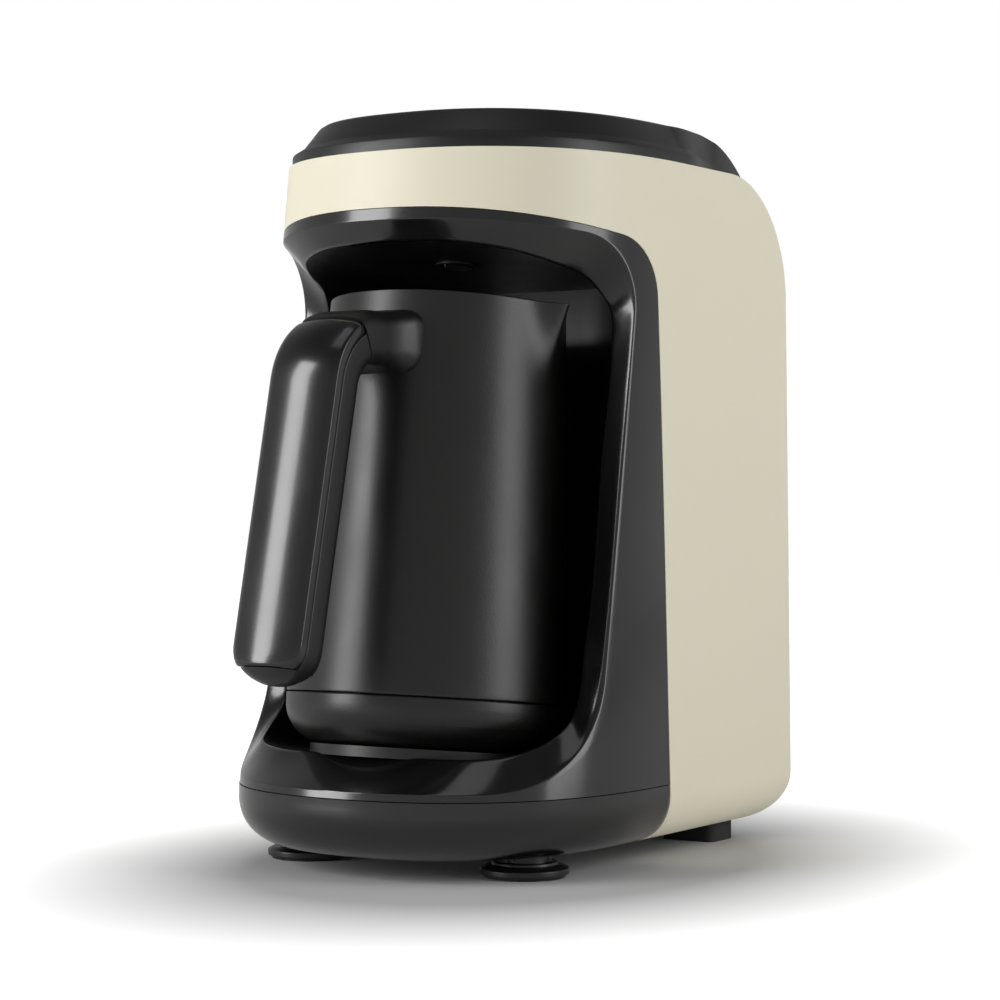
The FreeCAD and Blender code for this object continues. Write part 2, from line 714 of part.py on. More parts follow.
seam = size("pot_seam_height")
seam_r = size("pot_seam_radius")
rim_r = size("pot_rim_radius")
rim_z = size("pot_height")
wall = size("pot_wall")
lap = 3.0
vessel_out = turned([(0, seam - lap), (seam_r - 2.6, seam - lap), (seam_r - 2.6, seam + 0.2),
                     (seam_r, seam + 0.2), (rim_r, rim_z), (0, rim_z)])
vessel_in = turned([(0, seam - lap + wall), (seam_r - 2.6 - wall, seam - lap + wall),
                    (seam_r - 2.6 - wall, seam + 0.2 + wall),
                    (seam_r - wall, seam + 2.2 + wall), (rim_r - wall, rim_z), (rim_r - wall, rim_z + 5.0),
                    (0, rim_z + 5.0)])
spout_low = rim_z - size("spout_height")
spout_r = size("spout_radius")
spout_x = rim_r - 1.5
spout_out = at(Part.makeCone(1.0, spout_r, size("spout_height")), spout_x, 0, spout_low)
spout_in = at(Part.makeCone(0.2, spout_r - wall, size("spout_height") - wall + 0.2), spout_x - 0.4, 0,
              spout_low + wall)
vessel = vessel_out.fuse(spout_out).cut(vessel_in).cut(spout_in)
leaning("pot_vessel", vessel)

cup_r = size("pot_cup_round")
recess = size("pot_recess_depth")
recess_r = size("pot_recess_radius")
bend = math.sqrt(0.5)
cup_edges = [
    Part.LineSegment(Vector(recess_r, 0, 0), Vector(seam_r - cup_r, 0, 0)),
    Part.Arc(Vector(seam_r - cup_r, 0, 0), Vector(seam_r - cup_r + cup_r * bend, 0, cup_r * (1.0 - bend)),
             Vector(seam_r, 0, cup_r)),
    Part.LineSegment(Vector(seam_r, 0, cup_r), Vector(seam_r, 0, seam)),
    Part.LineSegment(Vector(seam_r, 0, seam), Vector(seam_r - 2.4, 0, seam)),
    Part.LineSegment(Vector(seam_r - 2.4, 0, seam), Vector(seam_r - 2.4, 0, seam - lap - 0.2)),
    Part.LineSegment(Vector(seam_r - 2.4, 0, seam - lap - 0.2), Vector(seam_r - 8.0, 0, recess + 2.2)),
    Part.LineSegment(Vector(seam_r - 8.0, 0, recess + 2.2), Vector(0, 0, recess + 2.2)),
    Part.LineSegment(Vector(0, 0, recess + 2.2), Vector(0, 0, recess)),
    Part.LineSegment(Vector(0, 0, recess), Vector(recess_r, 0, recess)),
    Part.LineSegment(Vector(recess_r, 0, recess), Vector(recess_r, 0, 0))]
cup_wire = Part.Wire([edge.toShape() for edge in cup_edges])
leaning("pot_base_cup", Part.Face(cup_wire).revolve(Vector(0, 0, 0), Vector(0, 0, 1), 360))

heater_low = recess + 2.4
heater_top = seam - lap - 0.1
leaning("pot_heater", at(Part.makeCylinder(seam_r - 12.0, heater_top - heater_low), 0, 0, heater_low))
rings = [at(tube(4.4, 2.8, 0.5), 0, 0, recess - 0.5), at(tube(8.2, 6.4, 0.5), 0, 0, recess - 0.5)]
leaning("pot_contact_rings", Part.makeCompound(rings))

# Handle: level arm from a flared root, bend, long grip, and its front cover

grip_w = size("grip_width")
grip_t = size("grip_thickness")
grip_tan = tan_deg(size("grip_lean"))
grip_cos = math.cos(math.radians(size("grip_lean")))
half_t = grip_t / 2.0
arm_mid = size("arm_top") - half_t
grip_low_s = size("pot_setback") - size("grip_forward")


def grip_line(z):
    """Setback of the grip's centre line at a height."""
    return grip_low_s + (z - size("grip_bottom") - half_t) * grip_tan


def handle_form(outer, inner, root_s, low):
    """Side form of arm and grip between two offsets from the centre line."""
    corner_out = grip_line(arm_mid + outer) - outer / grip_cos
    corner_in = grip_line(arm_mid - inner) + inner / grip_cos
    low_out = grip_line(low) - outer / grip_cos
    low_in = grip_line(low) + inner / grip_cos
    end_round = min(outer + inner, grip_t) * 0.42
    return rounded_side_prism([(root_s, arm_mid + outer, 0),
                               (corner_out, arm_mid + outer, size("arm_bend") + outer),
                               (low_out, low, end_round), (low_in, low, end_round),
                               (corner_in, arm_mid - inner, size("arm_bend") - inner),
                               (root_s, arm_mid - inner, 0)], grip_w / 2.0)


wall_s = size("pot_setback") + (arm_mid - POT_Z) * tan_deg(size("pot_lean")) - rim_r - 1.0
handle = handle_form(half_t, half_t, wall_s + 12.0, size("grip_bottom"))
long_edges = [e for e in handle.Edges if e.BoundBox.XLength < 0.01 and e.BoundBox.YMax < FRONT_Y + wall_s + 11.9]
handle = handle.makeFillet(size("grip_round"), long_edges)
root_arm = rounded_wire([(Vector(-grip_w / 2, FRONT_Y + wall_s - 12.0, arm_mid - half_t), 6.5),
                         (Vector(grip_w / 2, FRONT_Y + wall_s - 12.0, arm_mid - half_t), 6.5),
                         (Vector(grip_w / 2, FRONT_Y + wall_s - 12.0, arm_mid + half_t), 6.5),
                         (Vector(-grip_w / 2, FRONT_Y + wall_s - 12.0, arm_mid + half_t), 6.5)])
flare = size("root_flare")
root_wall = rounded_wire([(Vector(-grip_w / 2 - flare, FRONT_Y + wall_s + 6.0, arm_mid - half_t - flare), 9.0),
                          (Vector(grip_w / 2 + flare, FRONT_Y + wall_s + 6.0, arm_mid - half_t - flare), 9.0),
                          (Vector(grip_w / 2 + flare, FRONT_Y + wall_s + 6.0, arm_mid + half_t), 9.0),
                          (Vector(-grip_w / 2 - flare, FRONT_Y + wall_s + 6.0, arm_mid + half_t), 9.0)])
root = Part.makeLoft([root_arm, root_wall], True, True)
vessel_body = vessel_out.copy()
vessel_body.Placement = POT_PLACE
handle = handle.fuse(root).cut(vessel_body)
cover_t = size("handle_cover_thickness")
skin = handle_form(half_t + 1.0, cover_t - half_t, wall_s - 20.0, size("grip_bottom") + 4.5)
skin = skin.common(box(-BIG, BIG, -BIG, FRONT_Y + grip_line(arm_mid) + 8.0, 0, BIG))
tongue_w = size("bracket_width")
tongue_t = size("bracket_thickness")
tongue_fit = 0.15
tongue_front = FRONT_Y + grip_line(arm_mid) + 8.0
tongue = box(-tongue_w / 2, tongue_w / 2, tongue_front, FRONT_Y + wall_s + 8.0,
             arm_mid - tongue_t / 2, arm_mid + tongue_t / 2).cut(vessel_body)
tongue_slot = box(-tongue_w / 2 - tongue_fit, tongue_w / 2 + tongue_fit, tongue_front - 0.3, FRONT_Y + wall_s + 12.0,
                  arm_mid - tongue_t / 2 - tongue_fit, arm_mid + tongue_t / 2 + tongue_fit)
handle_cover = handle.common(skin)
handle_body = handle.cut(skin).cut(tongue_slot)
screw_y = FRONT_Y + wall_s - 12.0
screw_r = size("handle_screw_radius")
screw_head_r = size("handle_screw_head_radius")
screw_head_h = size("handle_screw_head_height")
arm_low = arm_mid - half_t
handle_body = handle_body.cut(at(Part.makeCylinder(screw_r + 0.1, arm_mid - arm_low), 0, screw_y, arm_low))
handle_body = handle_body.cut(at(Part.makeCylinder(screw_head_r + 0.2, screw_head_h + 0.4), 0, screw_y, arm_low))
tongue = tongue.cut(at(Part.makeCylinder(screw_r + 0.1, 2.0 * tongue_t), 0, screw_y, arm_mid - tongue_t))
screw = at(Part.makeCylinder(screw_r, arm_mid + 1.2 - arm_low - 0.4), 0, screw_y, arm_low + 0.4)
screw = screw.fuse(at(Part.makeCylinder(screw_head_r, screw_head_h), 0, screw_y, arm_low + 0.4))
keep("handle_body", handle_body.removeSplitter())
keep("handle_cover", handle_cover.removeSplitter())
keep("handle_bracket", tongue)
keep("handle_screw", screw)

# Checks and output

doc.recompute()
for item in doc.Objects:
    if "Invalid" in item.State or "Error" in item.State:
        raise RuntimeError("%s did not build: %s" % (item.Label, item.State))
for piece in parts:
    shape = piece.Shape
    if shape.isNull() or not shape.isValid() or shape.Volume <= 0:
        raise RuntimeError("%s has no valid solid" % piece.Label)
    print("%-20s %8.2f cm3 %d solids" % (piece.Label, shape.Volume / 1000.0, len(shape.Solids)))

os.makedirs("parts", exist_ok=True)
for piece in parts:
    piece.Shape.exportStep("parts/%s.step" % piece.Label)
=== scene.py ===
# %% [markdown]
# # An electric Turkish coffee maker with a lift-out pot
#
# The machine is a leaning, bow-fronted housing with a pale shell, a glossy dark front that frames
# an open bay, a dark crown, and a pot with a long handle that stands in the bay.
# The solid model is finished already, so it is loaded first as a fixed frame. This lesson puts
# smooth surfaces and real finishes around it. Every shape is worked out with numpy as a whole grid
# of points. Lengths are in millimetres and turn into metres once, where a mesh is made.

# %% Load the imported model
import json
import math

import bmesh
import bpy
import numpy as np
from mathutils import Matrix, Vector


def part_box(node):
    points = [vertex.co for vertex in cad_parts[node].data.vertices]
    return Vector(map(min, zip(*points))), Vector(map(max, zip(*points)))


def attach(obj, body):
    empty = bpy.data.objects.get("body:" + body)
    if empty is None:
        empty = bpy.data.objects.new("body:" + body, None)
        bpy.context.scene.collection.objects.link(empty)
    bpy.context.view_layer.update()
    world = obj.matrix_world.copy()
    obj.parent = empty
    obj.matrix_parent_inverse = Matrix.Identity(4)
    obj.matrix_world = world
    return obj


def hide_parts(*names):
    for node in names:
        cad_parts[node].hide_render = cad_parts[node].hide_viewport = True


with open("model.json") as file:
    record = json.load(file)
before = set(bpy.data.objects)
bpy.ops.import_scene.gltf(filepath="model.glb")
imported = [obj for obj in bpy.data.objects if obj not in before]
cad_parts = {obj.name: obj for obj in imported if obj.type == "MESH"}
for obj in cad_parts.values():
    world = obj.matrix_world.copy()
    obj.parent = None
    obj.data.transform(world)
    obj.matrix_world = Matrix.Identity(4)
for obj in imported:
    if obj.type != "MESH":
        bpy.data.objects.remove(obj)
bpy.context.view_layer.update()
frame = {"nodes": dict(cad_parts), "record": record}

print("nodes in the frame:", len(frame["nodes"]))

# %% [markdown]
# ## Directions and driving sizes
#
# X runs across the machine, Y from its front to its back and Z up from the table. A "setback" is
# a distance behind the frontmost point of the foot, because the side view of such a machine is
# easiest to read that way. The back of the machine is taken from the frame, so that the scene
# stays with the model if the model moves.

# %% Driving sizes
MM = 0.001
BODY_DEPTH = 198.5
BACK_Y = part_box("back_cover")[1].y / MM
FRONT_Y = BACK_Y - BODY_DEPTH
BACK_SETBACK = BODY_DEPTH - 3.0
HALF_WIDTH = 76.0
PARTING = 28.8
FOOT_Z = 7.4
FOOT_ROUND = 18.0
SHELL_TOP = 250.8
FRONT_LEAN = math.tan(math.radians(6.8))
SIDE_DRAFT = math.tan(math.radians(0.67))
BOW_DEPTH = 89.0
BOW_POWER = 2.0 / 2.34
GAP = 0.3
POT_LEAN = math.radians(6.1)
POT_SETBACK = 55.8
POT_SEAT = 41.5
print("front of the machine at y = %.2f mm" % FRONT_Y)

# %% [markdown]
# ## Finishes
#
# Nearly everything here is moulded plastic. A moulding isn't one flat colour: its gloss drifts a
# little, and its skin carries a fine grain from the tool. Painted pictures would need unrolled
# surfaces, so one function gives each finish a noise for the gloss, a finer noise for the bump and
# a weak drift of the colour. All of it reads Object coordinates, so the grain has one scale.

# %% A finish as a node tree


def linear(*colour):
    """sRGB numbers of 0 to 255 as linear light: c / 12.92 near black, else a power of 2.4."""
    value = np.array(colour) / 255.0
    light = np.where(value <= 0.04045, value / 12.92, ((value + 0.055) / 1.055) ** 2.4)
    return light.tolist()


def feed(tree, node, sockets):
    """Gives each socket a plain value or another node's output."""
    for socket, value in sockets.items():
        if isinstance(value, bpy.types.NodeSocket):
            tree.links.new(value, node.inputs[socket])
        else:
            node.inputs[socket].default_value = value


def add_node(tree, kind, out, sockets, **settings):
    """A new node with its settings and its sockets fed; the answer is the output of that name."""
    node = tree.nodes.new("ShaderNode" + kind)
    for name, value in settings.items():
        setattr(node, name, value)
    feed(tree, node, sockets)
    return node.outputs[out] if out else node.outputs


def finish(name, colour, rough, rough_drift, grain_per_m, grain_depth, colour_drift=0.06,
           metallic=0.0, coat=0.0, stretch=(1.0, 1.0, 1.0)):
    """A finish whose gloss, colour and grain come from noises in Object coordinates."""
    material = bpy.data.materials.new(name)
    material.use_nodes = True
    tree = material.node_tree
    inside = add_node(tree, "TexCoord", "Object", {})
    turn = add_node(tree, "Mapping", "Vector", {"Vector": inside, "Scale": stretch})

    def noise(scale, detail):
        return add_node(tree, "TexNoise", "Fac", {"Vector": turn, "Scale": scale, "Detail": detail})

    gloss = add_node(tree, "MapRange", "Result", {
        "Value": noise(38.0, 4.0), "From Min": 0.3, "From Max": 0.7,
        "To Min": max(rough - rough_drift, 0.03), "To Max": rough + rough_drift})
    darker, paler = (tuple(min(c * share, 1.0) for c in linear(*colour)) + (1.0,)
                     for share in (1.0 - colour_drift, 1.0 + colour_drift))
    tint = add_node(tree, "Mix", "Result", {"Factor": noise(9.0, 3.0), "A": darker, "B": paler},
                    data_type="RGBA")
    bump = add_node(tree, "Bump", "Normal", {"Strength": 1.0, "Distance": grain_depth * MM,
                                             "Height": noise(grain_per_m, 2.0)})
    feed(tree, tree.nodes["Principled BSDF"], {
        "Metallic": metallic, "Coat Weight": coat, "Coat Roughness": 0.08,
        "Roughness": gloss, "Base Color": tint, "Normal": bump})
    return material


# %% [markdown]
# The colours come from looking at the machine in soft light: a warm cream, blacks that differ
# mostly in gloss, and the plain metals of screws and springs. The pot's coat has a faint pebbled
# skin, so its grain is deeper than that of the housing. Each slot of the record gets its finish.

# %% The finishes of this machine
FINISHES = {
    "shell": finish("cream_moulding", (231, 226, 203), 0.50, 0.05, 1500.0, 0.010, 0.012, coat=0.05),
    "black_gloss": finish("black_gloss_moulding", (14, 14, 14), 0.19, 0.03, 1300.0, 0.006, coat=0.2),
    "black_satin": finish("black_satin_moulding", (12, 12, 12), 0.40, 0.05, 2200.0, 0.012),
    "panel": finish("piano_black", (16, 16, 18), 0.08, 0.02, 600.0, 0.002, coat=0.6),
    "button": finish("button_black", (46, 46, 48), 0.34, 0.04, 2600.0, 0.015),
    "light": finish("light_guide", (224, 228, 230), 0.30, 0.04, 1800.0, 0.008, 0.02),
    "pot_coat": finish("pebbled_coat", (13, 13, 12), 0.35, 0.03, 1700.0, 0.035),
    "cup_plastic": finish("cup_moulding", (14, 14, 13), 0.34, 0.04, 1500.0, 0.030),
    "steel": finish("brushed_steel", (196, 196, 198), 0.28, 0.06, 900.0, 0.006, metallic=1.0,
                    stretch=(1.0, 1.0, 0.08)),
    "screw_steel": finish("plated_screw", (168, 168, 172), 0.33, 0.06, 2400.0, 0.006, metallic=1.0),
    "spring_steel": finish("spring_wire", (180, 180, 184), 0.30, 0.05, 2400.0, 0.004, metallic=1.0),
    "brass": finish("plated_brass", (214, 184, 118), 0.26, 0.05, 2400.0, 0.004, metallic=1.0),
    "rubber": finish("rubber", (16, 16, 16), 0.75, 0.06, 2600.0, 0.04),
    "board": finish("solder_mask", (38, 112, 66), 0.34, 0.06, 1100.0, 0.02),
    "parts_dark": finish("component_case", (40, 40, 44), 0.5, 0.06, 2000.0, 0.02),
    "lens": finish("smoked_lens", (24, 14, 16), 0.09, 0.02, 500.0, 0.002, coat=0.5),
    "heater": finish("heater_plate", (120, 118, 114), 0.45, 0.08, 1500.0, 0.02, metallic=1.0),
}
node_slots = {part["node"]: part["material_slot"] for part in frame["record"]["subparts"]}
for node, slot in node_slots.items():
    solid = frame["nodes"][node]
    solid.data.materials.clear()
    solid.data.materials.append(FINISHES[slot])
print("finishes:", len(FINISHES), "on", len(node_slots), "nodes")

# %% [markdown]
# ## From a grid of points to a mesh
#
# A surface here is an array of rows and columns of points. Neighbouring rows are joined by
# four-sided faces, and a grid may close on itself along either direction. Rows that shrink to a
# point close a pole, once doubled points are merged. Normals are worked out afterwards, and edges
# sharper than a limit keep a crisp shade.

# %% Grid helpers


def surface(name, points, body, slot, replaced, wrap_columns=True, wrap_rows=False, crease=32.0,
            second_slot=None, second_from=0):
    """Row r, column c is one vertex; a face joins (r, c), (r, c+1), (r+1, c+1), (r+1, c)."""
    rows, columns = points.shape[:2]
    row = np.arange(rows if wrap_rows else rows - 1)[:, None]
    column = np.arange(columns if wrap_columns else columns - 1)[None, :]
    next_row = (row + 1) % rows
    next_column = (column + 1) % columns
    corners = np.broadcast_arrays(row * columns + column, row * columns + next_column,
                                  next_row * columns + next_column, next_row * columns + column)
    quads = np.stack(corners, axis=-1).reshape(-1, 4)
    mesh = bpy.data.meshes.new(name)
    mesh.from_pydata((points.reshape(-1, 3) * MM).tolist(), [], quads.tolist())
    mesh.materials.append(FINISHES[slot])
    if second_slot:
        mesh.materials.append(FINISHES[second_slot])
        in_second = (row >= second_from) & (row < rows - 1)
        slots = (in_second + 0 * column).ravel().astype(np.int32)
        mesh.polygons.foreach_set("material_index", slots)
    work = bmesh.new()
    work.from_mesh(mesh)
    bmesh.ops.remove_doubles(work, verts=work.verts, dist=0.004 * MM)
    bmesh.ops.dissolve_degenerate(work, edges=work.edges, dist=0.001 * MM)
    bmesh.ops.recalc_face_normals(work, faces=work.faces)
    work.to_mesh(mesh)
    work.free()
    mesh.polygons.foreach_set("use_smooth", np.ones(len(mesh.polygons), dtype=bool))
    mesh.set_sharp_from_angle(angle=math.radians(crease))
    piece = bpy.data.objects.new(name, mesh)
    bpy.context.scene.collection.objects.link(piece)
    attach(piece, body)
    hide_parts(*replaced)
    print("%-18s %6d vertices" % (name, len(mesh.vertices)))
    return piece


def quarter(count):
    """Angles from zero to a quarter turn."""
    return np.linspace(0.0, math.pi / 2, count)


def place(x, setback, z):
    """Stacks x, front edge + setback and z into points."""
    x, setback, z = np.broadcast_arrays(x, setback, z)
    return np.stack([x, FRONT_Y + setback, z], axis=-1)


def between(first, last, steps):
    """Rows that go straight from one row to another: first + (last - first) t, ends included."""
    t = np.linspace(0.0, 1.0, steps)
    return first[None] + (last - first)[None] * t.reshape((-1,) + (1,) * first.ndim)


def softened(before, corner, after, reach, steps=6):
    """Rows of a small round at a corner: a parabola from one neighbour's side to the other's."""
    def towards(target):
        way = target - corner
        length = np.maximum(np.linalg.norm(way, axis=-1, keepdims=True), 1e-6)
        return corner + way * np.minimum(reach / length, 0.45)

    t = np.linspace(0.0, 1.0, steps)[:, None, None]
    start, end = towards(before), towards(after)
    return (1 - t) ** 2 * start + 2 * t * (1 - t) * corner + t ** 2 * end


def rounded_path(corners, radii, per_arc=10):
    """Points of a path through corners, each corner with a tangent arc of its radius."""
    corners = np.array(corners, dtype=float)
    found = [corners[0]]
    for before, corner, after, radius in zip(corners[:-2], corners[1:-1], corners[2:], radii):
        u = (before - corner) / np.linalg.norm(before - corner)
        v = (after - corner) / np.linalg.norm(after - corner)
        half = math.acos(np.clip(u @ v, -1, 1)) / 2.0
        middle = (u + v) / np.linalg.norm(u + v)
        centre = corner + middle * radius / math.sin(half)
        sweep = np.linspace(-1.0, 1.0, per_arc) * (math.pi / 2.0 - half)
        across = np.array([-middle[1], middle[0]])
        side = math.copysign(1.0, across @ v)
        along = np.cos(sweep)[:, None] * middle
        found.extend(centre - radius * (along - side * np.sin(sweep)[:, None] * across))
    found.append(corners[-1])
    return np.array(found)


def run_length(points):
    """Distance along a path to each of its points."""
    steps = np.linalg.norm(np.diff(points, axis=0), axis=1)
    return np.concatenate([[0.0], np.cumsum(steps)])


def read_off(wanted, along, points):
    """A path's points at wanted places: each column is read between its neighbours."""
    return np.stack([np.interp(wanted, along, line) for line in points.T], axis=-1)


def spread(points, count):
    """A path's points taken again at equal distances."""
    along = run_length(points)
    wanted = np.linspace(0.0, along[-1], count)
    return read_off(wanted, along, points)


def dense(points, longest):
    """A path with its own points kept and its long runs divided."""
    along = run_length(points)
    return read_off(np.union1d(along, np.arange(0.0, along[-1], longest)), along, points)


def curve_through(points, count):
    """A smooth curve through points: each span blends its ends and the chords beside them."""
    points = np.array(points, dtype=float)
    along = run_length(points)
    slope = np.gradient(points, along, axis=0)
    wanted = np.linspace(0.0, along[-1], count)
    span = np.clip(np.searchsorted(along, wanted, side="right") - 1, 0, len(along) - 2)
    width = (along[span + 1] - along[span])[:, None]
    t = (wanted - along[span])[:, None] / width
    return ((1 + 2 * t) * (1 - t) ** 2 * points[span] + t * (1 - t) ** 2 * width * slope[span]
            + t * t * (3 - 2 * t) * points[span + 1] + t * t * (t - 1) * width * slope[span + 1])


# %% [markdown]
# ## The housing as one formula
#
# The shell, the dark front and the pan below it all lie on one leaning form, so that form is
# written once. In plan it is a full bow: x = W sin(p)^(2/n) and y = D (1 - cos(p)^(2/n)), and
# past a quarter turn the sides run straight back. W shrinks with height by the draft, the bow
# moves back with height by the lean, and close to the table the outline is drawn in by a quarter
# circle. A point is named by its plan parameter p and its height.

# %% Housing surface


def apex(z):
    """Setback of the bow's foremost point: it moves back by the lean above the parting line."""
    return (z - PARTING) * FRONT_LEAN


def tuck(z, inset):
    """How far the outline is drawn in near the foot: R - sqrt(R^2 - (R - height)^2)."""
    radius = FOOT_ROUND - inset
    drop = np.clip(1.0 - (z - FOOT_Z - inset) / radius, 0.0, 1.0)
    return radius * (1.0 - np.sqrt(1.0 - drop ** 2))


def housing(p, z, inset=0.0):
    """Point of the housing at plan parameter p and height z, drawn in by an inset."""
    shrink = inset + tuck(z, inset)
    turn = np.clip(np.abs(p), 0.0, math.pi / 2)
    x = (HALF_WIDTH - (z - PARTING) * SIDE_DRAFT - shrink) * np.sin(turn) ** BOW_POWER * np.sign(p)
    bow = (BOW_DEPTH - shrink) * (1.0 - np.cos(turn) ** BOW_POWER)
    straight = np.maximum(np.abs(p) - math.pi / 2, 0.0) * BOW_DEPTH
    return place(x, apex(z) + shrink + bow + straight, z)


def plan_parameter(setback, z, inset=0.0):
    """The p of a setback: the bow's formula turned round, then the straight side."""
    shrink = inset + tuck(z, inset)
    depth = (setback - apex(z) - shrink) / (BOW_DEPTH - shrink)
    in_bow = np.arccos(np.clip(1.0 - np.clip(depth, 0.0, 1.0), 0.0, 1.0) ** (1.0 / BOW_POWER))
    past = (setback - apex(z) - BOW_DEPTH) / BOW_DEPTH
    return np.where(depth >= 1.0, math.pi / 2 + past, in_bow)


FLIP = np.array([-1.0, 1.0, 1.0])


def mirrored(half):
    """A half grid from the middle to the right, completed on the left in the same order."""
    return np.concatenate([half[:, :0:-1] * FLIP, half], axis=1)


def mirrored_ring(half):
    """A half grid from bottom middle over the right to top middle, closed over the left."""
    return np.concatenate([half, half[:, -2:0:-1] * FLIP], axis=1)


print("half width at the top: %.1f mm" % housing(np.array(2.0), np.array(SHELL_TOP))[0])

# %% [markdown]
# ## The line between cream and black
#
# Seen from the side this line runs back under the cream band, turns down through a round corner
# and falls almost upright to the table. The shell ends on it from behind and the dark front from
# ahead. It is kept in four stretches, so that the shell's outer border can be cut into the same
# four and each column of the grid joins matching places.

# %% Border lines of the shell
EDGE_LOW = 100.2
EDGE_HIGH = 95.3
EDGE_CORNER = 22.0
BAND_EDGE = 230.7
BAND_SLOPE = math.tan(math.radians(8.9))
BAND_START = apex(BAND_EDGE)
BACK_TOP_ROUND = 44.0
BAND_STEPS, CORNER_STEPS, SIDE_STEPS, FOOT_STEPS = 56, 26, 44, 14
foot_turn = quarter(FOOT_STEPS)[1:]
foot_z = FOOT_Z + FOOT_ROUND * (1.0 - np.sin(foot_turn))


def band_height(setback):
    """The band's lower edge: it falls with the setback at a steady slope."""
    return BAND_EDGE - (setback - BAND_START) * BAND_SLOPE


def edge_setback(z):
    """The upright edge: a straight line between its setbacks at the parting line and at the band."""
    high_z = band_height(EDGE_HIGH)
    return EDGE_LOW + (EDGE_HIGH - EDGE_LOW) * (z - PARTING) / (high_z - PARTING)


def shell_edge(gap):
    """Parameters (p, z) of the edge from the front middle to the foot, moved ahead by a gap."""
    low_z = FOOT_Z
    corners = [(0.0, band_height(0.0) - gap), (EDGE_HIGH - gap, band_height(EDGE_HIGH) - gap),
               (edge_setback(low_z) - gap, low_z)]
    path = rounded_path(corners, [EDGE_CORNER - gap], CORNER_STEPS)
    arc = path[1:-1]
    p_end = plan_parameter(arc[0, 0], arc[0, 1])
    p = np.linspace(0.0, p_end, BAND_STEPS)
    z = np.full(BAND_STEPS, BAND_EDGE)
    for _ in range(6):
        z = band_height(housing(p, z)[:, 1] - FRONT_Y) - gap
    side_z = np.linspace(arc[-1, 1], FOOT_Z + FOOT_ROUND, SIDE_STEPS)
    straight_z = np.concatenate([side_z[1:], foot_z])
    down_z = np.concatenate([arc[1:, 1], straight_z])
    down_s = np.concatenate([arc[1:, 0], edge_setback(straight_z) - gap])
    return np.concatenate([p, plan_parameter(down_s, down_z)]), np.concatenate([z, down_z])


edge_p, edge_z = shell_edge(0.0)
arc_start = BACK_SETBACK - BACK_TOP_ROUND
top_p = np.linspace(0.0, plan_parameter(arc_start, SHELL_TOP), BAND_STEPS)
turn = quarter(CORNER_STEPS)[1:]
corner_s = arc_start + BACK_TOP_ROUND * np.sin(turn)
corner_z = SHELL_TOP - BACK_TOP_ROUND * (1.0 - np.cos(turn))
side_z = np.linspace(corner_z[-1], FOOT_Z + FOOT_ROUND, SIDE_STEPS)[1:]
foot_s = BACK_SETBACK - FOOT_ROUND * (1.0 - np.cos(foot_turn))
outer_s = np.concatenate([corner_s, np.full(SIDE_STEPS - 1, BACK_SETBACK), foot_s])
outer_z = np.concatenate([corner_z, side_z, foot_z])
outer_p = np.concatenate([top_p, plan_parameter(outer_s, outer_z)])
outer_z = np.concatenate([np.full(BAND_STEPS, SHELL_TOP), outer_z])
print("edge points:", len(edge_p), "outer points:", len(outer_p))

# %% [markdown]
# ## The pale shell
#
# The shell is one thin moulding: a band over the front that turns into two side panels. Cutting
# it from a block would give sharp steps, so it is a sheet between its two border lines, with a
# narrow flange folded in along the back where it meets the cover. The flange narrows toward the
# foot. A Solidify modifier gives the wall and a Bevel modifier breaks its edges.

# %% Shell sheet
SHELL_WALL = 2.6
SHELL_ROWS = 26
FLANGE = 12.0
FLANGE_STEPS = 8
TOP_FOLD = 3.0
EDGE_BREAK = 0.5
BREAK_ANGLE = math.radians(48.0)
SIDE_FROM, SIDE_BLEND = 0.9, 0.5
rows = between(np.stack([edge_p, edge_z], -1), np.stack([outer_p, outer_z], -1), SHELL_ROWS)
sheet_rows = housing(rows[..., 0], rows[..., 1])
flange_width = FLANGE * np.clip((outer_z - FOOT_Z) / FOOT_ROUND, 0.12, 1.0)
flange_part = np.linspace(0.0, 1.0, FLANGE_STEPS)[1:, None]
flange_rows = sheet_rows[-1][None] + np.zeros((FLANGE_STEPS - 1, 1, 3))
on_side = np.clip((outer_p - SIDE_FROM) / SIDE_BLEND, 0.0, 1.0)
flange_rows[..., 0] -= flange_part * flange_width * on_side
flange_rows[..., 1] += flange_part * TOP_FOLD * (1.0 - on_side)
shell = surface("shell_skin", mirrored(np.concatenate([sheet_rows, flange_rows])), "machine",
                "shell", ["outer_shell"], wrap_columns=False)
wall = shell.modifiers.new("wall", "SOLIDIFY")
wall.thickness = SHELL_WALL * MM
wall.offset = -1.0
wall.use_even_offset = True
edge_break = shell.modifiers.new("edge_break", "BEVEL")
edge_break.width = EDGE_BREAK * MM
edge_break.segments = 3
edge_break.limit_method = "ANGLE"
edge_break.angle_limit = BREAK_ANGLE
edge_break.harden_normals = True

# %% [markdown]
# ## The dark front
#
# A glossy ring frames the bay. From outside in it has four lines: the border under the cream, a
# soft outer ridge, the inner edge of the opening, and the place where the bay's walls run into
# the liner. The ridge is a side profile of lines and arcs pressed onto the housing. Each line is
# sampled at the same angles round the bay, and the ring is the surface through them, closed at
# the back so that it is a solid moulding.

# %% The ridge as a side profile
RING_CENTRE_Z = 130.0
RIDGE_SAMPLES = 130
BOTTOM_STEPS = 90
UNROLL = 70.0
SILL_EDGE = 31.5
FOOT_SWEEP = 45.0
FOOT_SWEEP_SETBACK = 16.0
FACE_LEAN = math.radians(9.6)
HOOD_EDGE = 226.3
HOOD_SWEEP = 24.0
BAY_HALF = 62.0
ridge_start = apex(HOOD_EDGE)
face_s = FOOT_SWEEP_SETBACK + FOOT_SWEEP * math.cos(FACE_LEAN)
face_z = SILL_EDGE + FOOT_SWEEP * (1.0 - math.sin(FACE_LEAN))


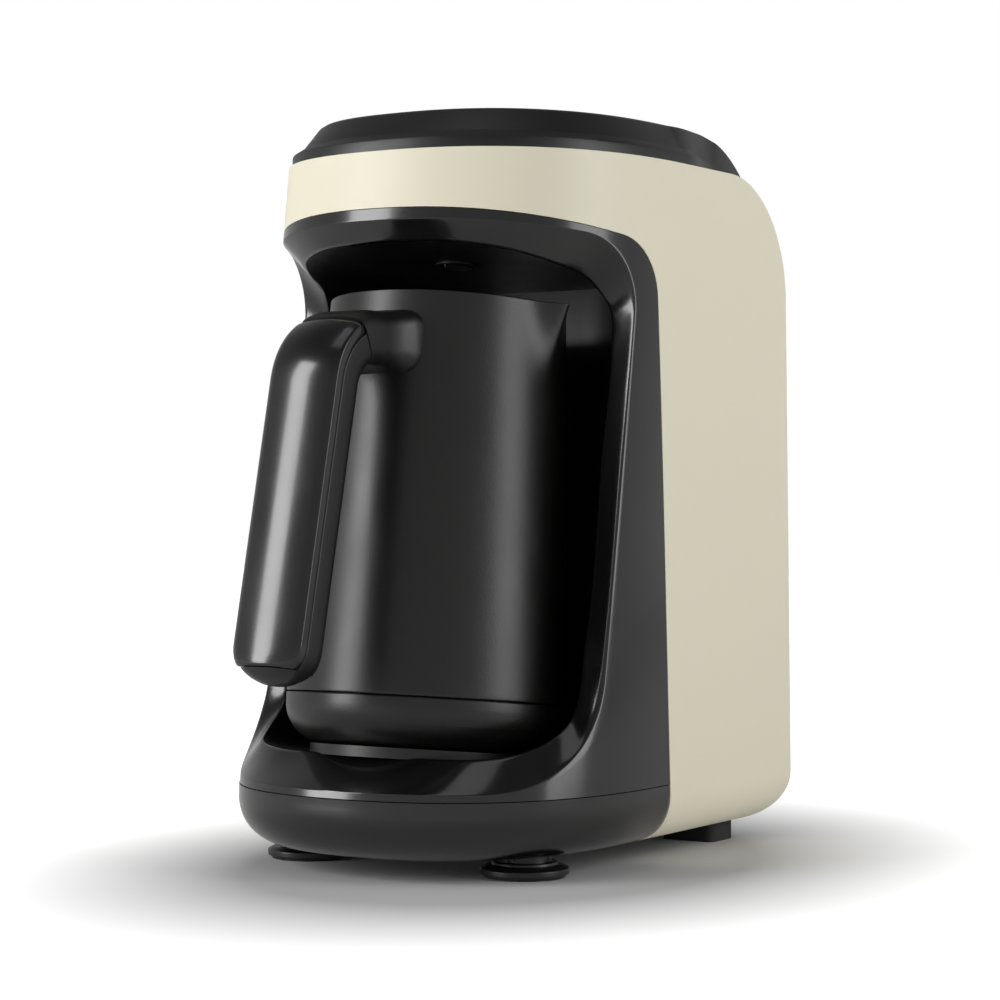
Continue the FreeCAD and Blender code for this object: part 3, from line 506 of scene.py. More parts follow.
def face_setback(z):
    """The ridge along the side posts: a straight line leaning back."""
    return face_s + (z - face_z) * math.tan(FACE_LEAN)


hood_corner_z = HOOD_EDGE - (face_setback(HOOD_EDGE) - ridge_start) * math.tan(POT_LEAN)
ridge_corners = [(apex(SILL_EDGE), SILL_EDGE), (face_setback(SILL_EDGE), SILL_EDGE),
                 (face_setback(hood_corner_z), hood_corner_z), (ridge_start, HOOD_EDGE)]
ridge_profile = dense(rounded_path(ridge_corners, [FOOT_SWEEP, HOOD_SWEEP], 30), 0.6)
ridge_p = plan_parameter(ridge_profile[:, 0], ridge_profile[:, 1])
ridge_points = np.column_stack([housing(ridge_p, ridge_profile[:, 1]), ridge_p * UNROLL])
ridge = spread(ridge_points, RIDGE_SAMPLES)
print("ridge from z = %.1f to %.1f mm" % (ridge[0, 2], ridge[-1, 2]))

# %% Border and ridge at the same angles
border_p, border_z = shell_edge(GAP)
low_z = PARTING + GAP / 2.0
keep = border_z > low_z
corner_p = plan_parameter(edge_setback(low_z) - GAP, low_z)
bottom_p = np.linspace(0.0, corner_p, BOTTOM_STEPS)
border_p = np.concatenate([bottom_p, border_p[keep][::-1]])
border_z = np.concatenate([np.full(BOTTOM_STEPS, low_z), border_z[keep][::-1]])


def angle(across, z):
    """Direction from the middle of the bay, from straight down to straight up on the right."""
    return np.arctan2(z - RING_CENTRE_Z, across)


ridge_unrolled = angle(ridge[:, 3], ridge[:, 2])
ridge_front = angle(ridge[:, 0], ridge[:, 2])
border_angle = angle(border_p * UNROLL, border_z)
ridge_step = np.arange(float(RIDGE_SAMPLES))
at_corner = np.interp(border_angle[BOTTOM_STEPS - 1], ridge_unrolled, ridge_step)
sample = np.union1d(ridge_step, [at_corner])
unrolled = np.interp(sample, ridge_step, ridge_unrolled)
seen = np.interp(sample, ridge_step, ridge_front)
border = read_off(unrolled, border_angle, np.stack([border_p, border_z], -1))
ridge_line = read_off(sample, ridge_step, ridge[:, :3])
ridge_at = np.stack([np.interp(sample, ridge_step, ridge[:, 3]) / UNROLL, ridge_line[:, 2]], -1)
print("ring columns:", len(sample) * 2 - 2)

# %% [markdown]
# The opening's inner edge is no plane figure: it lies far forward along the sill, sweeps back
# into the posts and comes forward again under the hood. A smooth curve through a few places
# follows it. The bay behind it is a rounded rectangle that leans with the pot. Its corners are
# tighter at the floor than at the ceiling.

# %% Inner edge and bay section
INNER_EDGE = [(0.0, 20.8, 42.0), (22.0, 21.2, 42.0), (40.0, 23.4, 42.2), (52.0, 30.0, 43.4),
              (59.0, 43.0, 47.4), (61.6, 54.5, 54.0), (62.0, 64.0, 81.0), (62.0, 75.0, 145.0),
              (62.0, 81.6, 182.0), (61.0, 83.0, 196.0), (57.6, 75.5, 206.0), (52.0, 58.0, 212.0),
              (44.0, 44.0, 215.6), (30.0, 34.0, 218.2), (0.0, 29.5, 219.4)]
BAY_FLOOR_DROP = 4.0
BAY_CEILING = 176.4
BAY_ROUNDS = [8.0, 25.0]
LINER_JOINT = 1.0
inner = curve_through(INNER_EDGE, 400)
inner_edge = read_off(seen, angle(inner[:, 0], inner[:, 2]), inner)
inner_edge[:, 1] += FRONT_Y


def bay_wall(setback):
    """The bay's section: a rounded box whose floor and ceiling fall by the pot's lean."""
    fall = (setback - POT_SETBACK) * math.tan(POT_LEAN)
    floor = POT_SEAT - BAY_FLOOR_DROP - fall
    ceiling = POT_SEAT + BAY_CEILING - fall
    corners = [(0.0, floor), (BAY_HALF, floor), (BAY_HALF, ceiling), (0.0, ceiling)]
    return rounded_path(corners, BAY_ROUNDS, 20)


section = dense(bay_wall(edge_setback(RING_CENTRE_Z) - LINER_JOINT), 1.0)
wall_x, wall_z = read_off(seen, angle(section[:, 0], section[:, 1]), section).T
wall_end = place(wall_x, edge_setback(wall_z) - LINER_JOINT, wall_z)
print("opening: %.0f mm high at its middle" % (inner[-1, 2] - inner[0, 2]))

# %% The ring as one closed surface
RIDGE_ROUND = 2.6
EDGE_ROUND = 1.6
face_rows = between(border, ridge_at, 16)
outer_rows = housing(face_rows[..., 0], face_rows[..., 1])
ridge_round = softened(outer_rows[-2], ridge_line, inner_edge, RIDGE_ROUND)
edge_round = softened(ridge_line, inner_edge, wall_end, EDGE_ROUND)
inner_face = between(ridge_round[-1], edge_round[0], 8)[1:-1]
front_rows = np.concatenate([outer_rows[:-2], ridge_round, inner_face, edge_round])
frame_rows = np.concatenate([front_rows, between(edge_round[-1], wall_end, 10)[1:]])
surface("front_skin", mirrored_ring(frame_rows), "machine", "black_gloss", ["front_frame"],
        wrap_rows=True, crease=38.0,
        second_slot="black_satin", second_from=len(front_rows) - 1)

# %% [markdown]
# ## The base pan
#
# Below a fine parting line the front continues as a rounded pan. It is a set of closed outlines:
# down the outside, in across the underside to the middle, and a wall's thickness back up inside.
# Behind the cream edge the pan steps in, so that it slides between the side panels.

# %% Pan outlines
PAN_TOP = PARTING - GAP / 2.0
PAN_STEP = 2.8
PAN_WALL = 2.5
PAN_COLUMNS, SIDE_COLUMNS = 110, 14


def pan_outline(turn_angle, inset):
    """Plan outline at one angle of the foot's rounding, from the front middle round the back."""
    def ring(p, extra):
        radius = FOOT_ROUND - inset - extra
        z = np.minimum(FOOT_Z + inset + extra + radius * (1.0 - math.sin(turn_angle)), PAN_TOP)
        return housing(p, np.full(p.shape, z), inset + extra)

    step_p = plan_parameter(edge_setback(PAN_TOP) - GAP, PAN_TOP)
    ahead = ring(np.linspace(0.0, step_p, PAN_COLUMNS), 0.0)
    back_p = math.pi / 2 + (BACK_SETBACK - PAN_STEP - BOW_DEPTH) / BOW_DEPTH
    side = ring(np.linspace(step_p, back_p, SIDE_COLUMNS), PAN_STEP)
    back_y = FRONT_Y + BACK_SETBACK - PAN_STEP - inset
    side[:, 1] = np.linspace(side[0, 1], back_y, SIDE_COLUMNS)
    back = side[-1:] * np.array([0.0, 1.0, 1.0])
    return np.concatenate([ahead, side, back])


wall_turns = quarter(14)
outside = np.array([pan_outline(a, 0.0) for a in wall_turns])
rim = outside[:1].copy()
rim[..., 2] = PAN_TOP
floor_middle = np.zeros_like(outside[-1]) + place(0.0, 0.5 * BODY_DEPTH, FOOT_Z + PAN_STEP / 2.0)
inside = np.array([pan_outline(a, PAN_WALL) for a in wall_turns[::-1]])
inside_middle = floor_middle + np.array([0.0, 0.0, PAN_WALL])
inner_rim = inside[-1:].copy()
inner_rim[..., 2] = PAN_TOP
pan = np.concatenate([between(floor_middle, outside[-1], 10)[:-1], outside[::-1], rim,
                      inner_rim, inside[::-1], between(inside[0], inside_middle, 10)[1:]])
surface("pan_skin", mirrored_ring(pan), "machine", "black_gloss", ["base_tray"], crease=34.0)

# %% [markdown]
# ## The crown
#
# The dark cover on top has a short upright wall, a steep glossy chamfer, a longer and flatter
# shoulder, and a level top that runs on over the back as a strip. Rolled out flat, that is a
# tongue: a bow in front, straight sides, a step in to the strip. The cover is worked out on the
# flat tongue, with a depth below the top for each row, and then bent over the back by turning
# each point about the centre of the rounding.

# %% The crown's rolled-out outline
CROWN_TOP = 266.0
STRIP_HALF = 63.6
STRIP_LOW_Z = 196.0
BEND_RADIUS = 54.0
BEND_START = BODY_DEPTH - BEND_RADIUS
STRIP_END = BEND_START + BEND_RADIUS * math.pi / 2 + (CROWN_TOP - BEND_RADIUS - STRIP_LOW_Z)
REVEAL = 1.2
PANEL_SETBACK, PANEL_HALF_X, PANEL_HALF_Y = 92.0, 37.3, 20.3
NARROWING = (120.0, 160.0)
MIDWAY = 70.0
COVER_WALL, STRIP_WALL = 15.0, 5.5
crown_half = HALF_WIDTH - (SHELL_TOP - PARTING) * SIDE_DRAFT - REVEAL
crown_apex = apex(SHELL_TOP) + REVEAL


def tongue(inset):
    """Right half of the rolled-out outline: bow, side, cosine step in to the strip, end."""
    p = quarter(60)
    depth = BOW_DEPTH - REVEAL
    bow_x = crown_half * np.sin(p) ** BOW_POWER
    bow_s = crown_apex + depth * (1.0 - np.cos(p) ** BOW_POWER)
    side_s = np.linspace(bow_s[-1], STRIP_END, 90)[1:]
    step = np.clip((side_s - NARROWING[0]) / (NARROWING[1] - NARROWING[0]), 0.0, 1.0)
    side_x = STRIP_HALF + (crown_half - STRIP_HALF) * (0.5 + 0.5 * np.cos(math.pi * step))
    end_x = np.linspace(STRIP_HALF, 0.0, 26)[1:]
    x = np.concatenate([bow_x, side_x, end_x])
    s = np.concatenate([bow_s, side_s, np.full(len(end_x), STRIP_END)])
    along = np.gradient(np.stack([x, s], -1), axis=0)
    along[0] = (1.0, 0.0)
    along[-len(end_x) - 1:] = (-1.0, 0.0)
    corner = (x >= STRIP_HALF - 0.01) & (s >= STRIP_END - 0.01)
    along[corner] = (-1.0, 1.0)
    along /= np.linalg.norm(along, axis=1, keepdims=True)
    inward = np.stack([-along[:, 1], along[:, 0]], -1)
    shift = inset(s)[:, None] * inward
    shift[corner] *= math.sqrt(2.0)
    shift[0, 0] = shift[-1, 0] = 0.0
    return np.stack([x, s], -1) + shift


print("tongue: %.0f mm long" % (STRIP_END - crown_apex))

# %% Bending the tongue over the back


def bent(x, s, depth):
    """Rolls the tongue over the back: past the bend's start it turns about the bend's centre."""
    turned = np.clip((s - BEND_START) / BEND_RADIUS, 0.0, math.pi / 2)
    past = np.maximum(s - BEND_START - BEND_RADIUS * math.pi / 2, 0.0)
    reach = BEND_RADIUS - depth
    setback = np.minimum(s, BEND_START) + reach * np.sin(turned)
    z = CROWN_TOP - BEND_RADIUS + reach * np.cos(turned) - past
    return place(x, setback, z)


def shoulder(front, side, strip):
    """Inset of one row along the tongue: front, side and strip value, blended by setback."""
    def width(s):
        return np.interp(s, [crown_apex, MIDWAY, NARROWING[0], NARROWING[1], STRIP_END],
                         [front, 0.5 * (front + side), side, strip, strip])
    return width


def wall_depth(s):
    """Height of the cover above the shell: full on the crown, thin down the back."""
    return np.interp(s, [0.0, BEND_START, BEND_START + BEND_RADIUS * math.pi / 2, STRIP_END],
                     [COVER_WALL, COVER_WALL, STRIP_WALL, STRIP_WALL])


def rolled(flat, depth):
    """A row or grid of flat points after the bending."""
    return bent(flat[..., 0], flat[..., 1], depth)


print("crown wall: %.1f mm" % wall_depth(0.0))

# %% [markdown]
# Each step of the crown's side profile is an inset for front, side and strip, with its share of
# the wall's height. So few steps keep chamfer and shoulder crisp; a smoothed cage would blur them.

# %% Crown surface
CROWN_STEPS = [((0.0, 0.0, 0.0), 1.0), ((0.0, 0.0, 0.0), 0.78), ((0.25, 0.25, 0.05), 0.745),
               ((3.6, 2.8, 0.2), 0.61), ((4.3, 3.3, 0.25), 0.575), ((10.6, 7.2, 0.5), 0.085),
               ((12.2, 8.4, 0.9), 0.02), ((14.5, 10.2, 1.8), 0.0)]
PANEL_CORNER = 9.3
RECESS_DEEP = 1.7
LID_WALL = 3.2
RIM_SHARE = np.array([0.90, 0.84])
UNDER_INSET = (15.5, 11.5, 3.0)
FOOT_INSET = (3.0, 3.0, 2.8)
outline_rows = []
for inset, share in CROWN_STEPS:
    top_edge = tongue(shoulder(*inset))
    outline_rows.append(rolled(top_edge, wall_depth(top_edge[:, 1]) * share))
panel_front, panel_back = PANEL_SETBACK - PANEL_HALF_Y, PANEL_SETBACK + PANEL_HALF_Y
panel_corners = [(0.0, panel_front), (PANEL_HALF_X, panel_front), (PANEL_HALF_X, panel_back),
                 (0.0, panel_back)]
panel_edge = dense(rounded_path(panel_corners, [PANEL_CORNER, PANEL_CORNER], 12), 1.0)


def around(flat):
    """Direction of a flat point from the panel's middle, from the front round to the back."""
    return np.arctan2(flat[:, 1] - PANEL_SETBACK, flat[:, 0])


hole = read_off(around(top_edge), around(panel_edge), panel_edge)
panel_middle = np.array([0.0, PANEL_SETBACK])
rim_hole = (hole - panel_middle) * RIM_SHARE + panel_middle
top_rows = rolled(between(top_edge, hole, 34)[1:], 0.0)
recess = [rolled(hole, RECESS_DEEP), rolled(rim_hole, RECESS_DEEP), rolled(rim_hole, LID_WALL)]
under_rows = rolled(between(rim_hole, tongue(shoulder(*UNDER_INSET)), 30)[1:], LID_WALL)
foot_inner = tongue(shoulder(*FOOT_INSET))
foot_row = rolled(foot_inner, wall_depth(foot_inner[:, 1]))
crown_rows = np.concatenate([outline_rows, top_rows, recess, under_rows, foot_row[None]])
surface("crown_skin", mirrored_ring(crown_rows), "machine", "black_satin", ["top_cover"],
        wrap_rows=True, crease=30.0)

# %% [markdown]
# ## The pot
#
# The pot leans with its bay. Its wall is turned: radius against height, carried round the axis.
# The pouring lip isn't round, so the radius gets a narrow swelling near the rim at one angle,
# which grows from nothing to its full size at the top. Inside and outside share that swelling,
# and the sheet keeps its thickness.

# %% Turned wall with a pouring lip
POT_HEIGHT = 158.0
SEAM = 17.4
SEAM_RADIUS = 49.5
RIM_RADIUS = 42.5
POT_WALL = 1.2
LIP_REACH = 8.4
LIP_HEIGHT = 28.0
LIP_HALF_ANGLE = math.radians(8.5)
LIP_GROWTH = 1.25


def lean(points):
    """Turns points of the pot's own frame about X by its lean and sets them on the seat."""
    x, y, z = np.moveaxis(points, -1, 0)
    cos, sin = math.cos(POT_LEAN), math.sin(POT_LEAN)
    return place(x, POT_SETBACK + y * cos + z * sin, POT_SEAT - y * sin + z * cos)


def turned(profile, columns, radius_at=None):
    """Radius and height carried round an axis; a function may change the radius with the angle."""
    turn = np.linspace(0.0, 2.0 * math.pi, columns, endpoint=False)[None, :]
    radius, height = profile[:, :1], profile[:, 1:]
    full = radius_at(radius, height, turn) if radius_at else radius
    return np.stack([full * np.cos(turn), full * np.sin(turn), height + 0.0 * turn], -1)


def with_lip(radius, height, turn):
    """The lip adds reach near the rim, less with the angle off its middle: exp(-off^1.5)."""
    off = np.abs((turn + math.pi) % (2.0 * math.pi) - math.pi) / LIP_HALF_ANGLE
    grown = np.clip((height - POT_HEIGHT + LIP_HEIGHT) / LIP_HEIGHT, 0.0, 1.0) ** LIP_GROWTH
    return radius + LIP_REACH * grown * np.exp(-off ** 1.5) * (radius > 0.8 * RIM_RADIUS)


wall_profile = rounded_path([(0.0, SEAM - 3.0), (SEAM_RADIUS - 2.7, SEAM - 3.0),
                             (SEAM_RADIUS - 2.7, SEAM + 0.3),
                             (SEAM_RADIUS - 0.02, SEAM + 0.3), (RIM_RADIUS, POT_HEIGHT - 0.2),
                             (RIM_RADIUS - 0.6, POT_HEIGHT), (RIM_RADIUS - POT_WALL, POT_HEIGHT - 0.4),
                             (SEAM_RADIUS - POT_WALL - 2.0, SEAM + 6.0), (0.0, SEAM - 1.6)],
                            [0.4, 0.3, 0.5, 0.4, 0.3, 0.4, 6.0], 6)
surface("pot_wall", lean(turned(dense(wall_profile, 3.0), 360, with_lip)), "pot", "pot_coat",
        ["pot_vessel"], crease=40.0)

# %% [markdown]
# The lower cup is a separate moulding with a well rounded foot. Its seam and its own skin show,
# so it is turned from a profile of its own. Its upper edge has a tiny round, so that a dark line
# shows where cup and wall meet.

# %% Lower cup
CUP_ROUND = 14.0
RECESS_RADIUS = 31.0
RECESS_DEPTH = 3.2
cup_profile = rounded_path([(0.0, RECESS_DEPTH), (RECESS_RADIUS, RECESS_DEPTH), (RECESS_RADIUS, 0.0),
                            (SEAM_RADIUS, 0.0), (SEAM_RADIUS, SEAM - 0.1),
                            (SEAM_RADIUS - 2.4, SEAM - 0.1), (SEAM_RADIUS - 2.4, SEAM - 3.2),
                            (SEAM_RADIUS - 8.0, RECESS_DEPTH + 2.2), (0.0, RECESS_DEPTH + 2.2)],
                           [0.5, 0.8, CUP_ROUND, 0.5, 0.2, 0.3, 1.0], 12)
surface("pot_cup", lean(turned(dense(cup_profile, 3.0), 240)), "pot", "cup_plastic",
        ["pot_base_cup"], crease=40.0)

# %% [markdown]
# ## The handle
#
# A level arm leaves the pot, bends through a quarter turn and hangs down as a long grip, with a
# glossy cover let into its front. Both are one kind of form: a rounded section carried along a
# path. The section is four quarter circles whose centres move apart by its width and depth, and
# its size may change along the path, which gives the rounded ends and the flare at the root.

# %% Sections along the handle's path
GRIP_HALF = 14.0
GRIP_DEEP = 9.5
GRIP_LOW = 68.8
ARM_MIDDLE = 185.0
ARM_ROOT = 30.0
ARM_BEND = 20.0
GRIP_SLOPE = math.tan(math.radians(12.7))
GRIP_FOOT_SETBACK = POT_SETBACK - 84.3
COVER_SPLIT = 3.0
COVER_START = 3.5
COVER_ROUND = 5.2
COVER_CROWN = 2.0
SECTION_STEPS = 10
BRIDGE_STEPS = 11


def grip_setback(z):
    """Setback of the grip's middle line, which leans with the machine."""
    return GRIP_FOOT_SETBACK + (z - GRIP_LOW - GRIP_DEEP) * GRIP_SLOPE


def pot_front(x, z):
    """Setback of the pot's outer wall ahead of its axis, at a place across and a height."""
    up = (z - POT_SEAT) / math.cos(POT_LEAN)
    radius = SEAM_RADIUS + (RIM_RADIUS - SEAM_RADIUS) * (up - SEAM) / (POT_HEIGHT - SEAM)
    axis = POT_SETBACK + (z - POT_SEAT) * math.tan(POT_LEAN)
    return axis - np.sqrt(np.maximum(radius ** 2 - x ** 2, 1.0)) / math.cos(POT_LEAN)


handle_path = rounded_path([(ARM_ROOT, ARM_MIDDLE), (grip_setback(ARM_MIDDLE), ARM_MIDDLE),
                            (grip_setback(GRIP_LOW), GRIP_LOW)], [ARM_BEND], 40)
handle_path = dense(handle_path, 2.0)
handle_along = run_length(handle_path)
handle_end = handle_along[-1]
print("handle path: %.0f mm" % handle_end)

# %% A section carried along the path


def carried(stations, low, high, half, low_round, high_round, crown=0.0):
    """Sections of four corner arcs, depth low to high; a crown lowers the front by (x / half)^2."""
    stations = np.asarray(stations, dtype=float)
    centre = read_off(stations, handle_along, handle_path)
    tangent = read_off(stations, handle_along, np.gradient(handle_path, handle_along, axis=0))
    tangent /= np.linalg.norm(tangent, axis=1, keepdims=True)
    outward = np.stack([tangent[:, 1], -tangent[:, 0]], -1)
    turn = np.concatenate([quarter(SECTION_STEPS) + k * math.pi / 2 for k in range(4)])
    side = np.repeat([1.0, -1.0, -1.0, 1.0], SECTION_STEPS)
    front = np.repeat([1.0, 1.0, -1.0, -1.0], SECTION_STEPS)
    bridge = np.linspace(1.0, -1.0, BRIDGE_STEPS + 2)[1:-1]
    turn = np.insert(turn, SECTION_STEPS, np.full(BRIDGE_STEPS, math.pi / 2))[None, :]
    side = np.insert(side, SECTION_STEPS, bridge)[None, :]
    front = np.insert(front, SECTION_STEPS, np.ones(BRIDGE_STEPS))[None, :]
    low, high, half, low_round, high_round = (
        np.broadcast_to(np.asarray(v, dtype=float), stations.shape)[:, None]
        for v in (low, high, half, low_round, high_round))
    radius = np.where(front > 0, high_round, low_round)
    radius = np.minimum(radius, np.minimum(half, (high - low) / 2.0) * 0.98)
    x = side * (half - radius) + radius * np.cos(turn)
    deep = np.where(front > 0, high - radius, low + radius) + radius * np.sin(turn)
    deep = deep - crown * (front > 0) * np.sin(turn) * (x / half) ** 2
    setback = centre[:, :1] + outward[:, :1] * deep
    z = centre[:, 1:] + outward[:, 1:] * deep
    return place(x, setback, z)


def end_curve(distance, radius):
    """How much a rounded end takes off at a distance from it: R - sqrt(R^2 - (R - d)^2)."""
    left = np.clip(1.0 - distance / radius, 0.0, 1.0)
    return radius * (1.0 - np.sqrt(1.0 - left ** 2))


def closed_end(ring):
    """Rows that draw the last ring together to its middle."""
    middle = ring.mean(axis=0, keepdims=True) + 0.0 * ring
    return between(ring, middle, 5)[1:]


# %% [markdown]
# The body keeps its full depth on the arm and below the cover, and stops short of the cover
# between. Its foot narrows as a half round that the cover shares, so that both end in one curve.
# Its root follows the pot's wall: the last rows take their setback from the wall's own formula,
# so that no gap shows where the flare meets the coat.

# %% Handle body
COVER_GAP = 0.18
COVER_FOOT = 4.8
BODY_ROUND = 6.5
END_ROUND = 12.5
DEEP_ROUND = 8.0
ROOT_FLARE, FLARE_START, FLARE_LENGTH = 3.0, 2.0, 12.0
cover_start_at = ARM_ROOT - COVER_START
cover_end_at = handle_end - COVER_FOOT


def grip_half(stations):
    """Half width at each station: the grip's foot is a half round when seen from the front."""
    return GRIP_HALF - end_curve(handle_end - stations, END_ROUND)


arm_stations = np.concatenate([np.linspace(FLARE_START, 16.0, 10),
                               np.linspace(17.0, cover_start_at, 6)])
flare = ROOT_FLARE * np.clip(1.0 - (arm_stations - FLARE_START) / FLARE_LENGTH, 0.0, 1.0) ** 2
arm = carried(arm_stations, -GRIP_DEEP - flare, GRIP_DEEP + 0.35 * flare, GRIP_HALF + flare,
              BODY_ROUND + 0.6 * flare, BODY_ROUND)
covered_stations = np.linspace(cover_start_at, cover_end_at, 70)
covered = carried(covered_stations, -GRIP_DEEP, COVER_SPLIT - COVER_GAP,
                  grip_half(covered_stations) - 0.35, 6.0, 0.7)
bottom_at = handle_end - DEEP_ROUND * (1.0 - np.sin(quarter(12)))
bottom_at = np.concatenate([[cover_end_at], bottom_at[bottom_at > cover_end_at]])
off = end_curve(handle_end - bottom_at, DEEP_ROUND)
bottom = carried(bottom_at, -GRIP_DEEP + off, GRIP_DEEP - off, grip_half(bottom_at), BODY_ROUND,
                 COVER_ROUND, COVER_CROWN)
root = arm[:1].copy()
root[..., 1] = FRONT_Y + pot_front(root[..., 0], root[..., 2])
root_middle = np.zeros_like(root[0]) + place(0.0, pot_front(0.0, ARM_MIDDLE), ARM_MIDDLE)
body_rows = np.concatenate([between(root_middle, root[0], 5), arm, covered, bottom,
                            closed_end(bottom[-1])])
surface("handle_grip", body_rows, "pot", "black_satin", ["handle_body"], crease=40.0)

# %% [markdown]
# The cover fills the rest of the section. A glossier patch of colour would have no seam, so it is
# a lid of its own. Its front is well rounded, its back is flat, and both ends close with a small
# round, so that a fine seam runs all the way round it.

# %% Handle cover
COVER_START_ROUND = 2.2
COVER_END_ROUND = 0.9
start_at = cover_start_at + GAP + COVER_START_ROUND * (1.0 - np.cos(quarter(10)))
end_at = cover_end_at - GAP - COVER_END_ROUND * (1.0 - np.sin(quarter(8)))
stations = np.concatenate([start_at, np.linspace(start_at[-1], end_at[0], 66)[1:-1], end_at])
start_off = end_curve(stations - cover_start_at - GAP, COVER_START_ROUND)
end_off = end_curve(cover_end_at - GAP - stations, COVER_END_ROUND)
cover = carried(stations, COVER_SPLIT + COVER_GAP, GRIP_DEEP - 0.7 * start_off - 0.5 * end_off
                - end_curve(handle_end - stations, DEEP_ROUND),
                grip_half(stations) - 0.4 * start_off - 0.4 * end_off, 0.5, COVER_ROUND, COVER_CROWN)
cover_rows = np.concatenate([closed_end(cover[0])[::-1], cover, closed_end(cover[-1])])
surface("handle_lid", cover_rows, "pot", "black_gloss", ["handle_cover"], crease=40.0)

# %% [markdown]
# ## Feet and buttons
#
# These are turned parts. A front foot is a wide disc with a lip, a collar and a stem whose upper
# part is slit into springy prongs: a dip in the radius at four angles keeps one closed grid,
# where a cut would not. A button is a cap with a rounded rim and a shallow fingertip dish.

# %% Turned feet
FOOT_SPREAD = 46.0
FOOT_SETBACK = 51.0


def upright(points, x, setback):
    """A turned form set on its axis across and behind the front."""
    return place(x + points[..., 0], setback + points[..., 1], points[..., 2])


def slit(radius, height, turn):
    """The radius less a dip at four angles, on the stem above the collar."""
    near = np.abs((turn + math.pi / 4) % (math.pi / 2) - math.pi / 4) * np.maximum(radius, 1.0)
    dip = SLIT_DEPTH * np.clip(1.6 - near, 0.0, 0.5) * 2.0
    return radius - dip * ((height > SLIT_FROM) & (radius > 4.0))


FOOT_CORNERS = [(0.0, 1.0), (15.5, 1.0), (15.5, 3.2), (13.6, 4.1), (11.4, 4.3), (11.2, 5.4),
                (9.2, 5.4), (9.2, 7.6), (9.9, 8.4), (9.2, 13.4), (0.0, 13.4)]
FOOT_ROUNDS = [0.5, 0.6, 0.6, 0.4, 0.4, 0.2, 0.2, 0.3, 0.8]
SLIT_DEPTH, SLIT_FROM = 1.2, 5.5
foot_profile = dense(rounded_path(FOOT_CORNERS, FOOT_ROUNDS, 6), 1.0)
for side, node in [(-1, "front_foot_left"), (1, "front_foot_right")]:
    foot = upright(turned(foot_profile, 144, slit), side * FOOT_SPREAD, FOOT_SETBACK)
    surface(node.replace("front_foot", "turned_foot"), foot, "machine", "black_satin", [node],
            crease=36.0)

# %% Dished buttons
BUTTON_SPACING = 17.0
CAP_TOP = CROWN_TOP + 1.4
SPRING_CLEAR = 0.05
DISH_SHARE, DISH_DEPTH = 0.86, 0.55
t = np.linspace(0.0, 1.0, 12)
for body, side, radius in [("brew_button", -1, 11.0), ("mode_button", 1, 8.0)]:
    dish = np.stack([radius * DISH_SHARE * (1 - t), CAP_TOP - DISH_DEPTH * (1 - (1 - t) ** 2)], -1)
    low_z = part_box(body)[0].z / MM
    flange_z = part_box(body.replace("button", "spring"))[1].z / MM + SPRING_CLEAR
    edge = rounded_path([(0.0, low_z), (2.5, low_z), (2.5, flange_z), (radius + 1.5, flange_z),
                         (radius + 1.5, flange_z + 1.5), (radius, flange_z + 1.5), (radius, CAP_TOP),
                         (radius * 0.9, CAP_TOP)], [0.3, 0.3, 0.2, 0.2, 0.1, 0.7], 6)
    cap = turned(np.concatenate([dense(edge, 1.0), dish]), 96)
    surface(body + "_cap", upright(cap, side * BUTTON_SPACING, PANEL_SETBACK), body, "button", [body],
            crease=36.0)

# %% [markdown]
# ## Floor, light and camera
#
# The machine stands on a seamless pale floor. Stronger lamps would whiten it but bleach the cream, so
# the floor itself is lifted to white for the camera. Round the machine the lift is held back, which
# paints a shadow there over the lamps' soft shadow. Gloss shows the floor as well, so a part of the
# lift answers to glossy and transmitted rays. The room above fades from pale to dark, as dark gloss
# in a real room shows it.

# %% Floor sheet
FLOOR_HALF = 3.0
floor_mesh = bpy.data.meshes.new("studio_floor")
sheet = FLOOR_HALF * np.array([(-1, -1, 0), (1, -1, 0), (1, 1, 0), (-1, 1, 0)])
floor_mesh.from_pydata(sheet.tolist(), [], [(0, 1, 2, 3)])
floor = bpy.data.objects.new("studio_floor", floor_mesh)
bpy.context.scene.collection.objects.link(floor)
print("floor: %.0f m across" % (2 * FLOOR_HALF))

# %% [markdown]
# The floor is plain paper with some light of its own. That light is nothing under the machine and
# grows with the distance from it, counted in footprints: d = |(place - middle) / half footprint|.
# Its middle sits a little to the right, so the dark halo close round the machine is a painted
# shadow over the soft shadow that the lamps cast, and the far floor turns white.

# %% Floor paper
MIRRORED_FLOOR = 0.15
# Middle, size and ramp of the painted shadow round the machine's foot.
SHADE_MIDDLE = (0.020, 0.0, 0.0)
SHADE_SCALE = (1.0 / 0.076, 1.0 / 0.099, 1.0)
SHADE_START, SHADE_END = 1.1, 2.5


def grey(value):
    """A neutral colour of linear light."""
    return (value, value, value, 1.0)


floor_look = bpy.data.materials.new("studio_floor")
floor_look.use_nodes = True
tree = floor_look.node_tree
tree.nodes.clear()
rays = add_node(tree, "LightPath", None, {})
paper = add_node(tree, "Mix", "Result", {"Factor": rays["Is Camera Ray"], "A": grey(0.86),
                                         "B": grey(0.62)}, data_type="RGBA")
matte = add_node(tree, "BsdfDiffuse", "BSDF", {"Color": paper})
in_gloss = add_node(tree, "Math", "Value", {0: rays["Is Glossy Ray"], 1: rays["Is Transmission Ray"]},
                    operation="MAXIMUM")
lit = add_node(tree, "Math", "Value", {0: in_gloss, 1: MIRRORED_FLOOR, 2: rays["Is Camera Ray"]},
               operation="MULTIPLY_ADD")
spot = add_node(tree, "TexCoord", "Object", {})
off = add_node(tree, "VectorMath", "Vector", {0: spot, 1: SHADE_MIDDLE}, operation="SUBTRACT")
steps = add_node(tree, "VectorMath", "Vector", {0: off, 1: SHADE_SCALE}, operation="MULTIPLY")
far = add_node(tree, "VectorMath", "Value", {0: steps}, operation="LENGTH")
reach = add_node(tree, "MapRange", "Result", {"Value": far, "From Min": SHADE_START,
                                              "From Max": SHADE_END, "To Min": 0.0, "To Max": 1.0})
